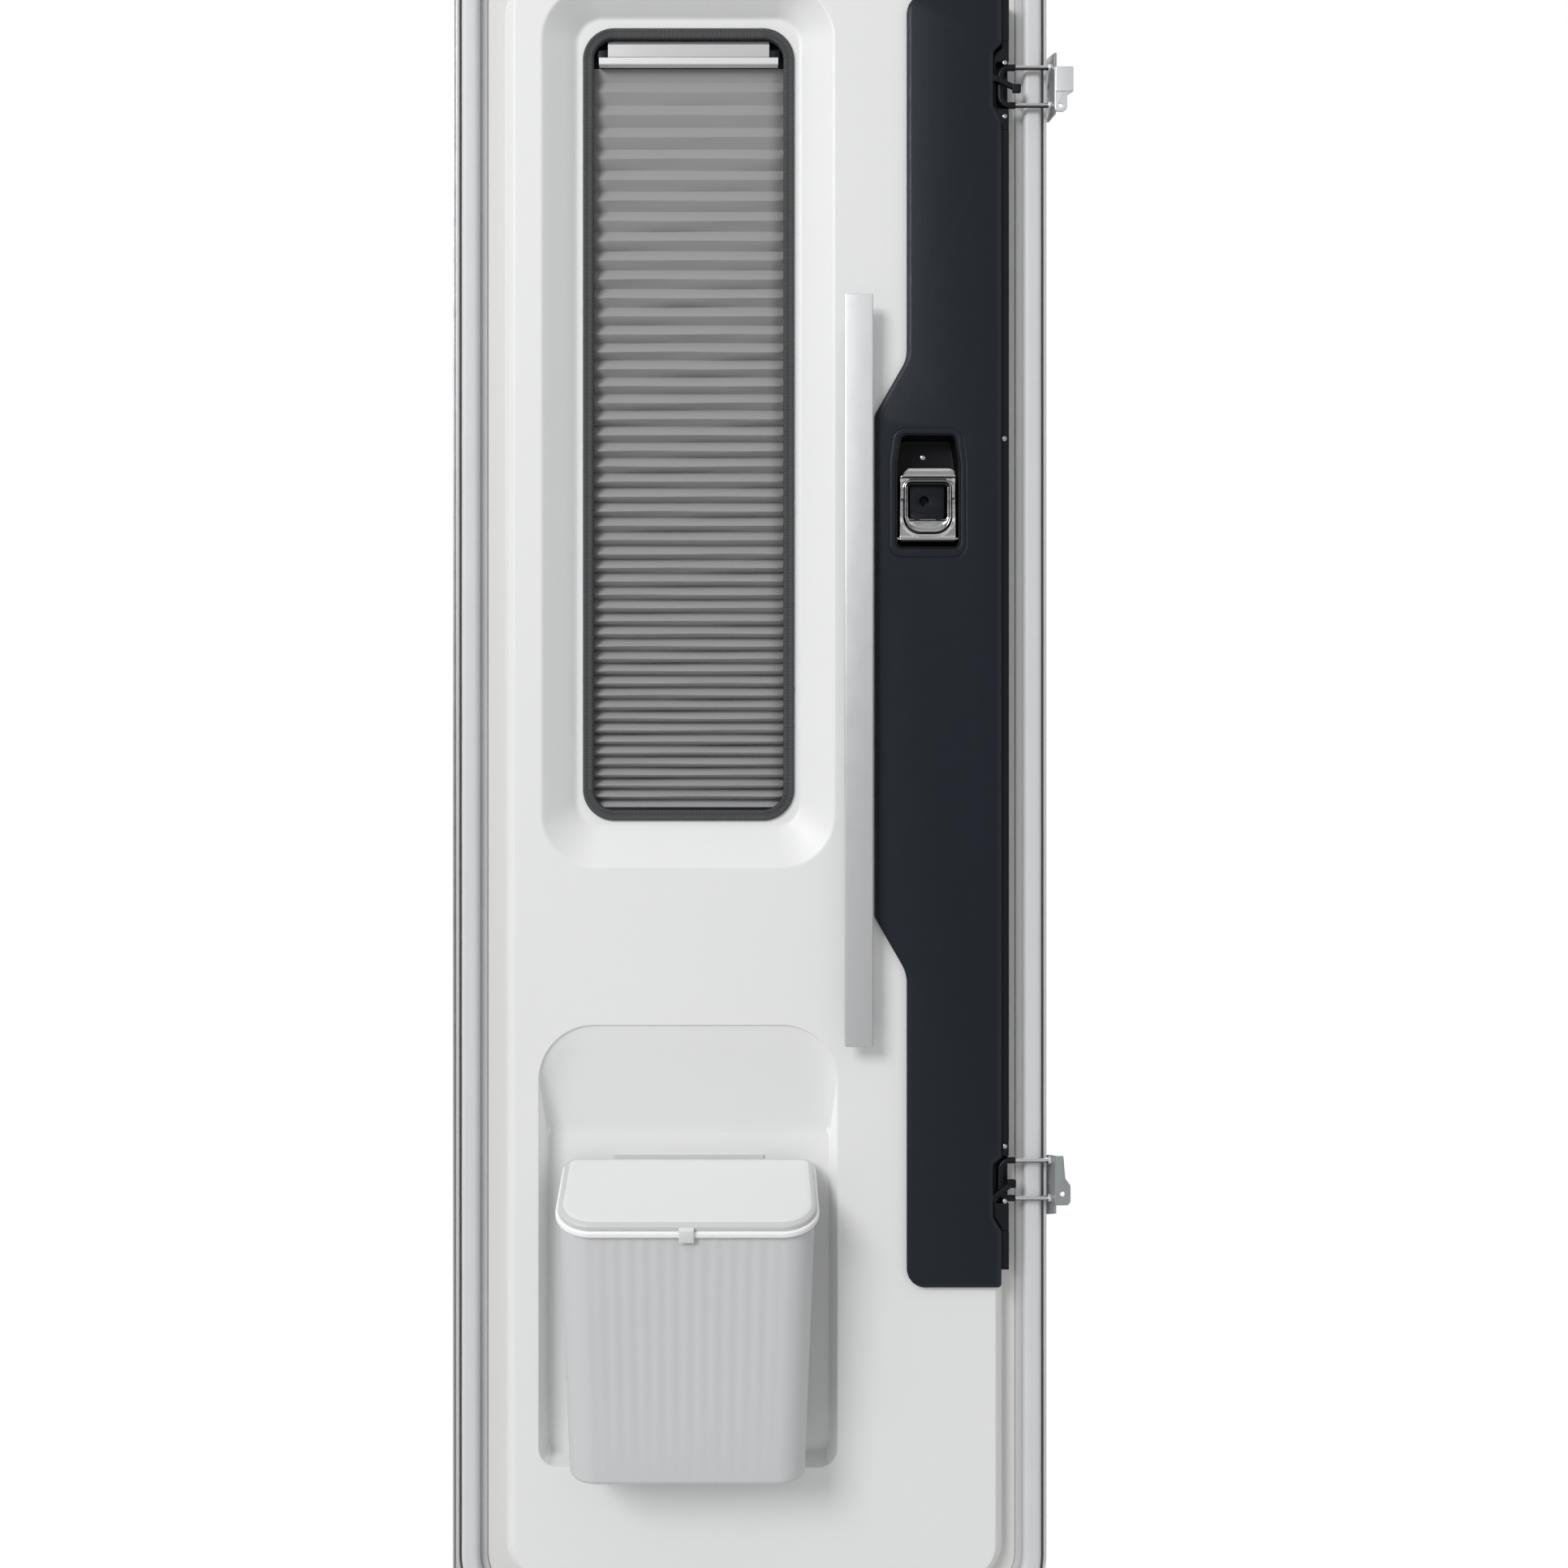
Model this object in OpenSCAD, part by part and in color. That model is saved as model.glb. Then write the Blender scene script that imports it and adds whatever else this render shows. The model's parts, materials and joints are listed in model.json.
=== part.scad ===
/* [Leaf] */
// Width of the leaf over its edge profile
leaf_w = 645; // [635:1:680]
// Height of the leaf over its edge profile
leaf_h = 1860; // [1850:5:1950]
// Radius of the leaf's outer corners
leaf_r = 79; // [70:1:95]
// Thickness of the leaf at its rim
edge_t = 32; // [30:1:36]
// Thickness of the outer skin
skin_t = 1.5; // [1:0.1:2]
// Thickness of the moulded inner liner
liner_t = 2.5; // [1.5:0.1:3]
// Height of the liner's raised panel above the channel round it
liner_rise = 20; // [17:0.5:24]
// How far the liner's face stands in front of the rim
face_proud = 13; // [12:0.5:16]
// Radius of the raised panel's corners
liner_r = 45; // [40:1:60]
// Radius rolled along the raised panel's edge
liner_roll = 10; // [6:0.5:12]
// Distance from the leaf's hinge edge to the raised panel
hinge_margin = 56.6; // [50:0.5:60]
// Distance from the raised panel to the leaf's lock edge
lock_margin = 49.8; // [48:0.5:54]
// Distance from the raised panel to the leaf's top and bottom
end_margin = 52; // [48:1:60]

/* [Edge profile and seal] */
// Width of the thin outer fin
fin_w = 2; // [1.5:0.1:3]
// Width of the dark groove inside the fin
groove_w = 4; // [3:0.5:5]
// Depth of the groove behind the seal's seat
groove_d = 6; // [4:0.5:8]
// Width of the seat that the seal stands on
seat_w = 18.2; // [17.8:0.2:20]
// Width of the ledge between the seal and the liner
ledge_w = 8.8; // [7:0.2:10]
// Height of the ledge above the seal's seat
ledge_h = 1.5; // [0.5:0.1:2.5]
// Width of the hollow rubber seal
seal_w = 17.5; // [15:0.5:17.6]
// Width of the seal's foot
seal_foot = 14; // [11:0.5:15]
// Wall of the seal's hollow bulb
seal_wall = 2.25; // [1.5:0.05:2.5]
// Height of the hollow rubber seal
seal_h = 12.2; // [11:0.2:12.8]

/* [Window] */
// Middle of the window and the bin recess, from the leaf's hinge edge
bay_mid = 253.5; // [250:0.5:258]
// Width of the sloped surround at the liner's face
surround_w = 317; // [300:1:325]
// Distance from the leaf's top down to the sloped surround
surround_drop = 73; // [70:1:110]
// Distance from the bin recess up to the sloped surround
surround_lift = 172; // [150:1:180]
// Corner radius of the surround at the liner's face
surround_r = 57; // [50:1:65]
// Width of the flat rim inside the surround
rim_w = 244.8; // [230:0.2:250]
// Distance from the surround's top down to the flat rim
rim_drop = 23; // [20:1:30]
// Distance from the surround's bottom up to the flat rim
rim_lift = 43.5; // [38:0.5:50]
// Corner radius of the rim
rim_r = 27; // [24:1:40]
// Depth of the rim behind the liner's face
rim_depth = 25; // [20:0.5:26]
// Gap between the rim's edge and the rubber trim
rim_land = 6.1; // [4:0.1:8]
// Gap between the rim's edge and the rubber trim at the top
rim_land_top = 10.6; // [6:0.2:14]
// Outer corner radius of the rubber trim
trim_r = 34.5; // [30:0.5:38]
// Width of the rubber trim
trim_w = 12; // [10:0.5:14]
// Height of the rubber trim above the rim
trim_h = 4; // [3:0.5:5]
// Thickness of the outer pane
pane_t = 4; // [3:0.5:5]
// How far the outer pane reaches past the rubber trim's outline
pane_lap = 20; // [14:1:26]

/* [Blind] */
// Gap between the cassette's end and the rubber trim
cassette_gap = 15.6; // [12:0.2:20]
// Height of the cassette
cassette_h = 18.8; // [12:0.2:20]
// Gap between the pull bar's end and the rubber trim
pull_bar_gap = 5.8; // [3:0.2:9]
// Height of the pull bar
pull_bar_h = 8; // [6:0.5:10]
// Depth of the pull bar
pull_bar_d = 9; // [7:0.5:10]
// Length of cloth from one fold line to the next
pleat_len = 14; // [13.2:0.1:15]
// Number of pleats
pleats = 48; // [46:1:52]
// Height of the topmost pleat
pleat_top = 25.8; // [24:0.2:26]
// Height that the pleats close up towards
pleat_end = 8; // [7:0.5:9]
// Pleats that this closing up takes
pleat_fade = 30; // [28:1:34]
// Height of the cloth's lower end above the foot of the opening
cloth_up = 5; // [1:0.5:8]
// Thickness of the blind's cloth
cloth_t = 0.6; // [0.5:0.1:1]

/* [Grab bar] */
// Width of the flat grab bar
bar_w = 30.4; // [26:0.2:34]
// Length of the grab bar
bar_len = 805; // [700:5:830]
// Height of the grab bar's middle above the leaf's middle
bar_mid = 113.5; // [90:0.5:130]
// Middle of the grab bar, from the leaf's hinge edge
bar_x = 436.8; // [434:0.2:438]
// Thickness of the bar's wall
bar_t = 6; // [4:0.5:8]
// Free gap between the bar and the liner
bar_gap = 19; // [16:1:30]
// Radius of the two posts that carry the bar
post_r = 8; // [6:0.5:10]
// Distance from the bar's end to its post
post_in = 26; // [16:1:60]

/* [Lock cover] */
// Left edge of the cover's straight part, from the leaf's hinge edge
cover_x = 490.4; // [486:0.5:492]
// Width of the cover's straight part
cover_w = 102; // [96:0.2:104]
// How far the cover bulges towards the grab bar
bulge = 35; // [28:0.5:35]
// Distance from the leaf's top down to the cover
cover_drop = 85; // [80:1:120]
// Distance from the leaf's bottom up to the cover
cover_lift = 378; // [340:1:400]
// Height where the bulge starts at the top
bulge_top = 452; // [430:1:480]
// Height where the bulge ends at the bottom
bulge_bottom = -213; // [-240:1:-200]
// Length of the bulge's slopes
bulge_slope = 61; // [50:1:75]
// Thickness of the cover
cover_t = 7.7; // [6:0.1:9]
// Corner radius of the cover
cover_r = 19; // [12:1:24]
// Width of the black rail beside the cover
rail_w = 6; // [5:0.5:8]
// Distance from the cover's bottom up to the black rail's
rail_lift = 18; // [6:1:40]

/* [Inner handle] */
// Middle of the inner handle, from the leaf's hinge edge
handle_x = 512.7; // [511:0.1:514]
// Height of the inner handle's middle
handle_z = 308; // [280:1:330]
// Inside width of the handle's cup
cup_w = 66; // [64:0.5:70]
// Inside height of the handle's cup
cup_h = 120; // [116:1:126]
// Inside depth of the cup below the cover's face
cup_d = 24; // [22:0.5:25]
// Inside width of the cup at its top
cup_top_w = 56.4; // [54:0.2:60]
// Height of the cup's straight sides
cup_side_h = 90; // [86:1:96]
// Width of the raised border round the cup
cup_border = 8.3; // [6:0.1:10]
// Height of that border above the cover
border_t = 0.8; // [0.5:0.1:1.2]
// Wall of the cup
cup_t = 2; // [1.5:0.1:2.5]
// Width of the lever
lever_w = 61; // [56:0.5:62]
// Height of the lever
lever_h = 80.5; // [76:0.5:84]
// Thickness of the lever's plate
lever_t = 3.6; // [3:0.2:4.5]
// Width of the window in the lever
lever_win_w = 42.4; // [34:0.2:44]
// Height of the window in the lever
lever_win_h = 38; // [32:0.5:42]
// Chamfer of the lever's upper left corner
lever_cut = 7; // [5:0.5:9]
// Radius of the lever's pivot pin
lever_pin_r = 2; // [1.5:0.1:2.2]

/* [Latches and keepers] */
// Distance from the leaf's top down to the upper latch
latch_drop = 181; // [170:1:210]
// Distance from the leaf's bottom up to the lower latch
latch_lift = 493; // [470:1:510]
// Height of the latch housings
housing_h = 96; // [92:1:104]
// Distance between the two legs of a keeper loop
loop_h = 41; // [38:0.5:44]
// Radius of the loop's rod
rod_r = 2.5; // [2:0.1:3]
// Thickness of the black sleeve on the loop
sleeve_t = 0.9; // [0.6:0.1:1]
// Radius of the loop's two bends
loop_bend = 10; // [8:0.5:12]
// Width of the claw's arm
claw_w = 5.4; // [5:0.2:7]
// Reach of the claw's arm from its pivot
claw_len = 50; // [46:0.5:52]
// Thickness of the claw
claw_t = 3.8; // [3:0.2:4]
// Side of the claw's square end
claw_end = 9; // [8:0.2:10]
// Slope of the resting upper claw
claw_rest = 25; // [20:1:30]
// Slope of the resting lower claw
claw_rest_low = 38; // [30:1:42]
// Distance from the claw's pivot to the loop
claw_back = 24; // [22:0.5:26]
// Gap between the keeper's plate and the leaf
keeper_gap = 2.6; // [2:0.1:4]
// Thickness of the keeper's bracket
keeper_t = 2.5; // [2:0.1:3]
// Height of the keeper's side plate
keeper_h = 66; // [60:1:74]
// Depth of the keeper's side plate
keeper_d = 44; // [38:1:46]
// Width of the keeper's front plate
keeper_front_w = 20; // [16:1:26]
// Radius of the keeper's screw holes
keeper_hole_r = 2.6; // [2:0.1:3]

/* [Hinge] */
// Thickness of the hinge's two strips
strip_t = 2; // [1.5:0.1:2.5]
// Depth of the hinge's strips
strip_d = 26; // [24:1:28]
// Gap between the closed strips
strip_gap = 1; // [0.6:0.1:1.5]
// Distance from the hinge's ends to the leaf's ends
hinge_end = 30; // [20:1:80]
// Number of knuckles along the hinge
knuckles = 20; // [12:2:30]
// Outer radius of the knuckles
knuckle_r = 3.6; // [3.2:0.1:4.2]
// Radius of the hinge pin
hinge_pin_r = 1.6; // [1.2:0.1:2]
// Distance between neighbouring screws in the wall strip
hinge_screw_pitch = 176; // [150:1:200]

/* [Bin recess] */
// Width of the bin recess at the liner's face
niche_w = 323; // [310:1:330]
// Height of the bin recess
niche_h = 479; // [470:1:490]
// Distance from the leaf's bottom up to the bin recess
niche_lift = 181; // [176:1:200]
// Radius of the recess's upper corners
niche_top_r = 60; // [50:1:66]
// Radius of the recess's lower corners
niche_low_r = 21; // [16:1:30]
// Depth of the recess behind the liner's face
niche_depth = 27; // [22:0.5:28]
// Depth of the small step round the recess
niche_lip = 3; // [2:0.5:4]
// Slope of the recess's side walls, as their width
niche_draft = 7; // [5:0.5:10]
// Flat of the recess's back above the bin's hanger
back_room = 28.3; // [20:0.1:40]

/* [Bin] */
// Middle of the bin, from the leaf's hinge edge
bin_x = 254.5; // [253:0.5:256]
// Width of the lid
lid_w = 270; // [262:1:274]
// Depth of the lid along its slope
lid_d = 119; // [110:1:124]
// Distance from the recess's bottom up to the lid's rear edge
lid_rise = 333.2; // [324:0.2:338]
// Slope of the lid towards the room
lid_slope = 20.4; // [12:0.2:22]
// Thickness of the lid
lid_t = 8; // [7.5:0.5:10]
// Radius of the lid's front corners
lid_front_r = 38; // [30:1:46]
// Radius of the lid's rear corners
lid_rear_r = 12; // [8:1:20]
// Thickness of the white rim ring
ring_t = 6.5; // [5:0.5:8]
// How far the ring stands out past the lid
ring_lap = 3; // [2:0.5:4]
// How much narrower than the lid the body is at the rim, on each side
body_inset = 0; // [0:0.5:10]
// Width of the body at its foot
body_foot_w = 247; // [240:1:256]
// Wall of the body
body_wall = 2.4; // [2:0.1:3.5]
// Distance from the recess's bottom up to the body's foot
foot_lift = 18; // [14:1:36]
// How much the front leans in from rim to foot
body_lean = 9; // [4:0.5:14]
// Radius of the body's upright corners
body_r = 28; // [20:1:36]
// Number of soft flutes across the front
flutes = 13; // [9:1:15]

// Width of the hanger behind the bin
hanger_w = 165; // [120:1:200]
// Thickness of the hanger's sheet
hanger_t = 2; // [1.5:0.1:2.5]
// Length of the bin's hook inside the hanger
hook_drop = 14; // [10:1:20]
// Width of the bin's hook
hook_w = 140; // [100:2:150]
// Thickness of the bin's hook
hook_t = 2.7; // [2:0.1:3]
// Free space between the recess's back and the bin
bin_clear = 11; // [9:0.5:14]
// Distance from the lid's rear edge down to the hanger's shelf
shelf_drop = 65.2; // [50:0.2:80]
// Distance the hanger stands up past the lid's rear edge
hanger_up = -0.5; // [-4:0.5:12]

/* [Outer handle] */
// Width of the outer handle's plate
grip_w = 92; // [86:1:100]
// Height of the outer handle's plate
grip_h = 160; // [150:1:170]
// Width of the hand recess
grip_cup_w = 70; // [66:1:74]
// Height of the hand recess
grip_cup_h = 96; // [90:1:100]
// Radius of the key cylinder
key_r = 9; // [7:0.5:11]
// Distance from the handle's middle up to the key cylinder
key_rise = 76; // [70:1:82]
// Distance from the handle's middle down to its plate's lower edge
grip_low = 58; // [54:1:62]

/* [Hidden] */
$fn = 64;
fit = 0.3;
pin_fit = 0.06;
over = 1;

skin_y = strip_d / 2;
core_y = skin_y - skin_t;
fin_y = skin_y - edge_t;
face_y = fin_y - face_proud;
floor_y = face_y + liner_rise;
flange_y = floor_y + liner_t;
leaf_x0 = 2 * strip_t + strip_gap;
leaf_x1 = leaf_x0 + leaf_w;
leaf_z = leaf_h / 2;
hinge_len = leaf_h - 2 * hinge_end;
niche_bottom = niche_lift - leaf_z;
niche_top = niche_bottom + niche_h;
lid_z = niche_bottom + lid_rise;
hanger_top = lid_z + hanger_up;
ramp_end = hanger_top + back_room;
body_foot = niche_bottom + foot_lift;
surround_top = leaf_z - surround_drop;
surround_bottom = niche_top + surround_lift;
rim_top = surround_top - rim_drop;
rim_bottom = surround_bottom + rim_lift;
cover_top = leaf_z - cover_drop;
cover_bottom = cover_lift - leaf_z;
rail_bottom = cover_bottom + rail_lift;
latch_top = leaf_z - latch_drop;
latch_low = latch_lift - leaf_z;
frame_in = fin_w + groove_w + seat_w + ledge_w;
panel_x0 = leaf_x0 + hinge_margin;
panel_x1 = leaf_x1 - lock_margin;
panel_z = leaf_z - end_margin;
bay_x = leaf_x0 + bay_mid;
rim_y = face_y + rim_depth;
trim_x0 = bay_x - rim_w / 2 + rim_land;
trim_x1 = bay_x + rim_w / 2 - rim_land;
trim_z0 = rim_bottom + rim_land;
trim_z1 = rim_top - rim_land_top;
open_in = trim_w - 2;
hinge_axis = [strip_t + strip_gap / 2, skin_y + knuckle_r + 0.9];
niche_y = face_y + niche_depth;
niche_x0 = bay_x - niche_w / 2;
niche_x1 = bay_x + niche_w / 2;
cover_y = face_y - fit;
cover_face = cover_y - cover_t;
cup_x = leaf_x0 + handle_x;
cup_back = cover_face + cup_d;
lever_y = cover_face + 1;
lever_foot = handle_z - cup_h / 2 + 5;
lever_axis = [lever_y + lever_t + 2.6, lever_foot + 4.5];
loop_y = face_y + 2;
sleeve_r = rod_r + sleeve_t;
loop_x = leaf_x1 - 53;
sleeve_end = loop_x + 16.5;
claw_y = loop_y - sleeve_r - fit;
claw_x = loop_x - claw_back;
claw_pin = [14.7, -31.5];
claw_turn = [-1, 1];
keeper_x = leaf_x1 + keeper_gap;
keeper_y1 = loop_y + 28;
keeper_y0 = keeper_y1 - keeper_d;
housing_x0 = claw_x - 8;
housing_mid = [latch_top, latch_low - 7];
housing_y = face_y - 1.5;
pocket_h = loop_h + 2 * sleeve_r + 3;
notch_x = loop_x - sleeve_r - 5.1;
bin_mid = leaf_x0 + bin_x;
bin_back = niche_y - bin_clear;
hanger_out = 2 * hanger_t + hook_t + 1.9;
body_top_w = lid_w - 2 * body_inset;
shelf_z = lid_z - shelf_drop;
body_back = bin_back - 3;
lid_cos = cos(lid_slope);
lid_nose = lid_t / 2 - 0.2;
lid_pivot = [-lid_nose - 0.2, -lid_t / 2 - 0.2];
lug_x = lid_w / 2 - 10.5;

module plate(y0, y1) {
    translate([0, y1, 0])
        rotate([90, 0, 0])
            linear_extrude(y1 - y0)
                children();
}

module round_rect(x0, x1, z0, z1, r, r2 = -1) {
    low_r = r2 < 0 ? r : r2;
    translate([x0, z0 + low_r]) square([x1 - x0, z1 - z0 - r - low_r]);
    translate([x0 + r, z1 - r]) square([x1 - x0 - 2 * r, r]);
    translate([x0 + low_r, z0]) square([x1 - x0 - 2 * low_r, low_r + over / 10]);
    for (x = [x0 + r, x1 - r])
        translate([x, z1 - r]) circle(r);
    for (x = [x0 + low_r, x1 - low_r])
        translate([x, z0 + low_r]) circle(low_r);
}

// Carries an outline, drawn as inset and depth, once round a rounded rectangle
module carried(x0, x1, z0, z1, r) {
    translate([(x0 + x1) / 2, 0, (z0 + z1) / 2])
        for (k = [0:3])
            rotate([0, -90 * k, 0]) {
                a = (k % 2 == 0 ? x1 - x0 : z1 - z0) / 2;
                b = (k % 2 == 0 ? z1 - z0 : x1 - x0) / 2;
                translate([a - r, 0, -b])
                    rotate([0, -90, 0])
                        linear_extrude(2 * a - 2 * r) children();
                translate([a - r, 0, r - b])
                    rotate([-90, 0, 0])
                        rotate_extrude(angle = 90)
                            translate([r, 0]) mirror([1, 0]) children();
            }
}

module leaf_outline(inset) {
    round_rect(leaf_x0 + inset, leaf_x1 - inset, inset - leaf_z, leaf_z - inset, leaf_r - inset);
}

module panel_outline(inset) {
    round_rect(panel_x0 + inset, panel_x1 - inset, inset - panel_z, panel_z - inset, liner_r - inset);
}

module trim_outline(inset) {
    round_rect(trim_x0 + inset, trim_x1 - inset, trim_z0 + inset, trim_z1 - inset, trim_r - inset);
}

module surround_outline(grow) {
    round_rect(bay_x - surround_w / 2 - grow, bay_x + surround_w / 2 + grow,
        surround_bottom - grow, surround_top + grow, surround_r + grow);
}

module rim_outline(grow) {
    round_rect(bay_x - rim_w / 2 - grow, bay_x + rim_w / 2 + grow,
        rim_bottom - grow, rim_top + grow, rim_r + grow);
}

// The sloped space inside the window surround, grown outwards for its shell
module surround_form(grow) {
    hull() {
        plate(face_y - 0.02, face_y) surround_outline(grow);
        plate(rim_y + grow - 0.02, rim_y + grow) rim_outline(grow);
    }
}

module niche_mouth(grow) {
    round_rect(niche_x0 - grow, niche_x1 + grow, niche_bottom - grow, niche_top + grow,
        niche_top_r + grow, niche_low_r + grow);
}

// The bin recess: a ramp from its upper edge down to an upright back
module niche_form(grow) {
    step_y = face_y + niche_lip + grow;
    plate(face_y - over, step_y) niche_mouth(grow);
    hull() {
        plate(step_y - 0.02, step_y) niche_mouth(grow);
        plate(niche_y + grow - 0.02, niche_y + grow)
            round_rect(niche_x0 + niche_draft - grow, niche_x1 - niche_draft + grow,
                niche_bottom + niche_draft - grow, ramp_end + grow, 10 + grow);
    }
}

// Straight sides with a narrower, tapered top
module cup_outline(grow, low = 0) {
    w = cup_w / 2 + grow;
    top = cup_top_w / 2 + grow;
    z0 = handle_z - cup_h / 2 - grow - low;
    z1 = handle_z + cup_h / 2 + grow;
    side = handle_z - cup_h / 2 + cup_side_h;
    polygon(rounded([[cup_x - w, z0, 5 + grow], [cup_x - w, side, 20], [cup_x - top, z1, 6 + grow],
        [cup_x + top, z1, 6 + grow], [cup_x + w, side, 20], [cup_x + w, z0, 5 + grow]]));
}

module housing_outline(k, grow) {
    translate([housing_x0 - grow, housing_mid[k] - housing_h / 2 - grow])
        square([panel_x1 + over - housing_x0 + grow, housing_h + 2 * grow]);
}

module grip_cup_outline(grow) {
    round_rect(cup_x - grip_cup_w / 2 - grow, cup_x + grip_cup_w / 2 + grow,
        handle_z - grip_cup_h / 2 - grow, handle_z + grip_cup_h / 2 + grow, 14 + grow);
}

module knuckle_row(first) {
    pitch = hinge_len / knuckles;
    for (k = [first:2:knuckles - 1])
        translate([hinge_axis[0], hinge_axis[1], -hinge_len / 2 + k * pitch + 0.3])
            cylinder(h = pitch - 0.6, r = knuckle_r);
}

module hinge_strip(x0, first) {
    difference() {
        union() {
            translate([x0, -strip_d / 2, -hinge_len / 2])
                cube([strip_t, strip_d, hinge_len]);
            knuckle_row(first);
            intersection() {
                translate([x0, strip_d / 2 - 0.01, -hinge_len / 2])
                    cube([strip_t, knuckle_r + 0.9, hinge_len]);
                translate([-5, 0, 0]) knuckle_web(first);
            }
        }
        translate([hinge_axis[0], hinge_axis[1], -hinge_len / 2 - over])
            cylinder(h = hinge_len + 2 * over, r = hinge_pin_r + pin_fit);
    }
}

module knuckle_web(first) {
    pitch = hinge_len / knuckles;
    for (k = [first:2:knuckles - 1])
        translate([0, 0, -hinge_len / 2 + k * pitch + 0.3])
            cube([20, 30, pitch - 0.6]);
}

module hinge_wall_strip() {
    color("gainsboro")
        difference() {
            hinge_strip(0, 0);
            for (k = [-2.5:1:2.5])
                translate([-over, 0, k * hinge_screw_pitch])
                    rotate([0, 90, 0]) cylinder(h = strip_t + 2 * over, r = 2.2);
        }
}

module hinge_leaf_strip() {
    color("gainsboro") hinge_strip(leaf_x0 - strip_t, 1);
}

module hinge_pin() {
    color("silver")
        translate([hinge_axis[0], hinge_axis[1], -hinge_len / 2])
            cylinder(h = hinge_len, r = hinge_pin_r);
}

module keeper_front(z, outline, hole) {
    translate([0, 0, z])
        difference() {
            plate(keeper_y0 - keeper_t, keeper_y0)
                translate([keeper_x, 0]) polygon(outline);
            translate([keeper_x + hole[0], keeper_y0 - keeper_t - over, hole[1]])
                rotate([-90, 0, 0]) cylinder(h = keeper_t + 2 * over, r = keeper_hole_r);
        }
}

// Side plate seen from the lock edge, with the height of its screw hole over the loop's middle
module keeper_side(z, outline, hole_z) {
    difference() {
        translate([keeper_x, 0, z])
            rotate([90, 0, 90])
                linear_extrude(keeper_t) polygon(outline);
        translate([keeper_x - over, keeper_y1 - 14, z + hole_z])
            rotate([0, 90, 0]) cylinder(h = keeper_t + 2 * over, r = keeper_hole_r);
        for (leg = [-1, 1])
            translate([keeper_x - over, loop_y, z + leg * loop_h / 2])
                rotate([0, 90, 0]) cylinder(h = keeper_t + 2 * over, r = rod_r + pin_fit);
    }
}

module keeper_bracket_upper() {
    w = keeper_front_w;
    half = keeper_h / 2;
    color("lightgray") {
        keeper_side(latch_top, [[keeper_y0 - 0.01, half - 4], [keeper_y1 - 6, half + 8],
            [keeper_y1, half + 3], [keeper_y1, 8 - half], [keeper_y1 - 6, 4 - half],
            [keeper_y0 + 4, -half - 2], [keeper_y0 - 0.01, 2.2 - half]], 7);
        keeper_front(latch_top, rounded([[0, 13.1, 0.5], [0, -34.9, 4], [0.67 * w, -34.9, 6],
            [0.67 * w, -17, 0.5], [w, -13, 0.5], [w, 13.1, 1.5]]), [6.4, -28.4]);
    }
}

module keeper_bracket_lower() {
    w = keeper_front_w;
    half = keeper_h / 2;
    color("darkgray") {
        keeper_side(latch_low, [[keeper_y0 - 0.01, half - 3.4], [keeper_y1 - 6, half - 12],
            [keeper_y1, half - 16], [keeper_y1, -half - 9], [keeper_y1 - 4, -half - 12],
            [keeper_y0 + 1.5, -half - 0.3], [keeper_y0 + 1.5, 8 - half], [keeper_y0 - 0.01, 9.9 - half]], -7);
        keeper_front(latch_low, rounded([[0, 29.6, 0.5], [0, -23.4, 0.5], [0.85 * w, -23.4, 5],
            [0.85 * w, -2, 6], [0.57 * w, 5.4, 4], [0.47 * w, 29.6, 1]]), [8.4, -11.3]);
    }
}

// A rod bent to a U whose legs run along X and whose far bar stands upright
module u_rod(z, r, x_end, bore = 0) {
    half = loop_h / 2;
    translate([0, loop_y, z])
        for (side = [-1, 1])
            mirror([0, 0, side < 0 ? 1 : 0]) {
                translate([loop_x + loop_bend, 0, half])
                    rotate([0, 90, 0]) ring_rod(r, bore, x_end - loop_x - loop_bend);
                translate([loop_x, 0, 0]) ring_rod(r, bore, half - loop_bend);
                translate([loop_x + loop_bend, 0, half - loop_bend])
                    rotate([90, 0, 0])
                        rotate_extrude(angle = 90, start = 90)
                            translate([loop_bend, 0])
                                difference() {
                                    circle(r, $fn = 32);
                                    if (bore > 0) circle(bore, $fn = 32);
                                }
            }
}

module ring_rod(r, bore, h) {
    difference() {
        cylinder(h = h, r = r, $fn = 32);
        if (bore > 0)
            translate([0, 0, -over]) cylinder(h = h + 2 * over, r = bore, $fn = 32);
    }
}

module keeper_loop(z) {
    color("silver") {
        u_rod(z, rod_r, keeper_x + keeper_t);
        for (side = [-1, 1])
            translate([keeper_x - 3.2, loop_y, z + side * loop_h / 2])
                rotate([0, 90, 0]) cylinder(h = 3, r = 4.2, $fn = 6);
    }
}

module keeper_loop_upper() { keeper_loop(latch_top); }
module keeper_loop_lower() { keeper_loop(latch_low); }

module keeper_sleeve(z) {
    color("#202124") u_rod(z, sleeve_r, sleeve_end, rod_r + pin_fit);
}

module keeper_sleeve_upper() { keeper_sleeve(latch_top); }
module keeper_sleeve_lower() { keeper_sleeve(latch_low); }

module outer_skin() {
    color("whitesmoke")
        plate(core_y, skin_y)
            difference() {
                leaf_outline(0);
                trim_outline(open_in - 8);
                grip_cup_outline(3);
            }
}

module edge_profile() {
    color("gainsboro")
        carried(leaf_x0, leaf_x1, -leaf_z, leaf_z, leaf_r)
            polygon([[0, core_y], [0, fin_y], [fin_w, fin_y], [fin_w, floor_y + groove_d],
                [fin_w + groove_w, floor_y + groove_d], [fin_w + groove_w, floor_y],
                [frame_in - ledge_w, floor_y], [frame_in - ledge_w, floor_y - ledge_h],
                [frame_in, floor_y - ledge_h], [frame_in, core_y]]);
}

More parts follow.
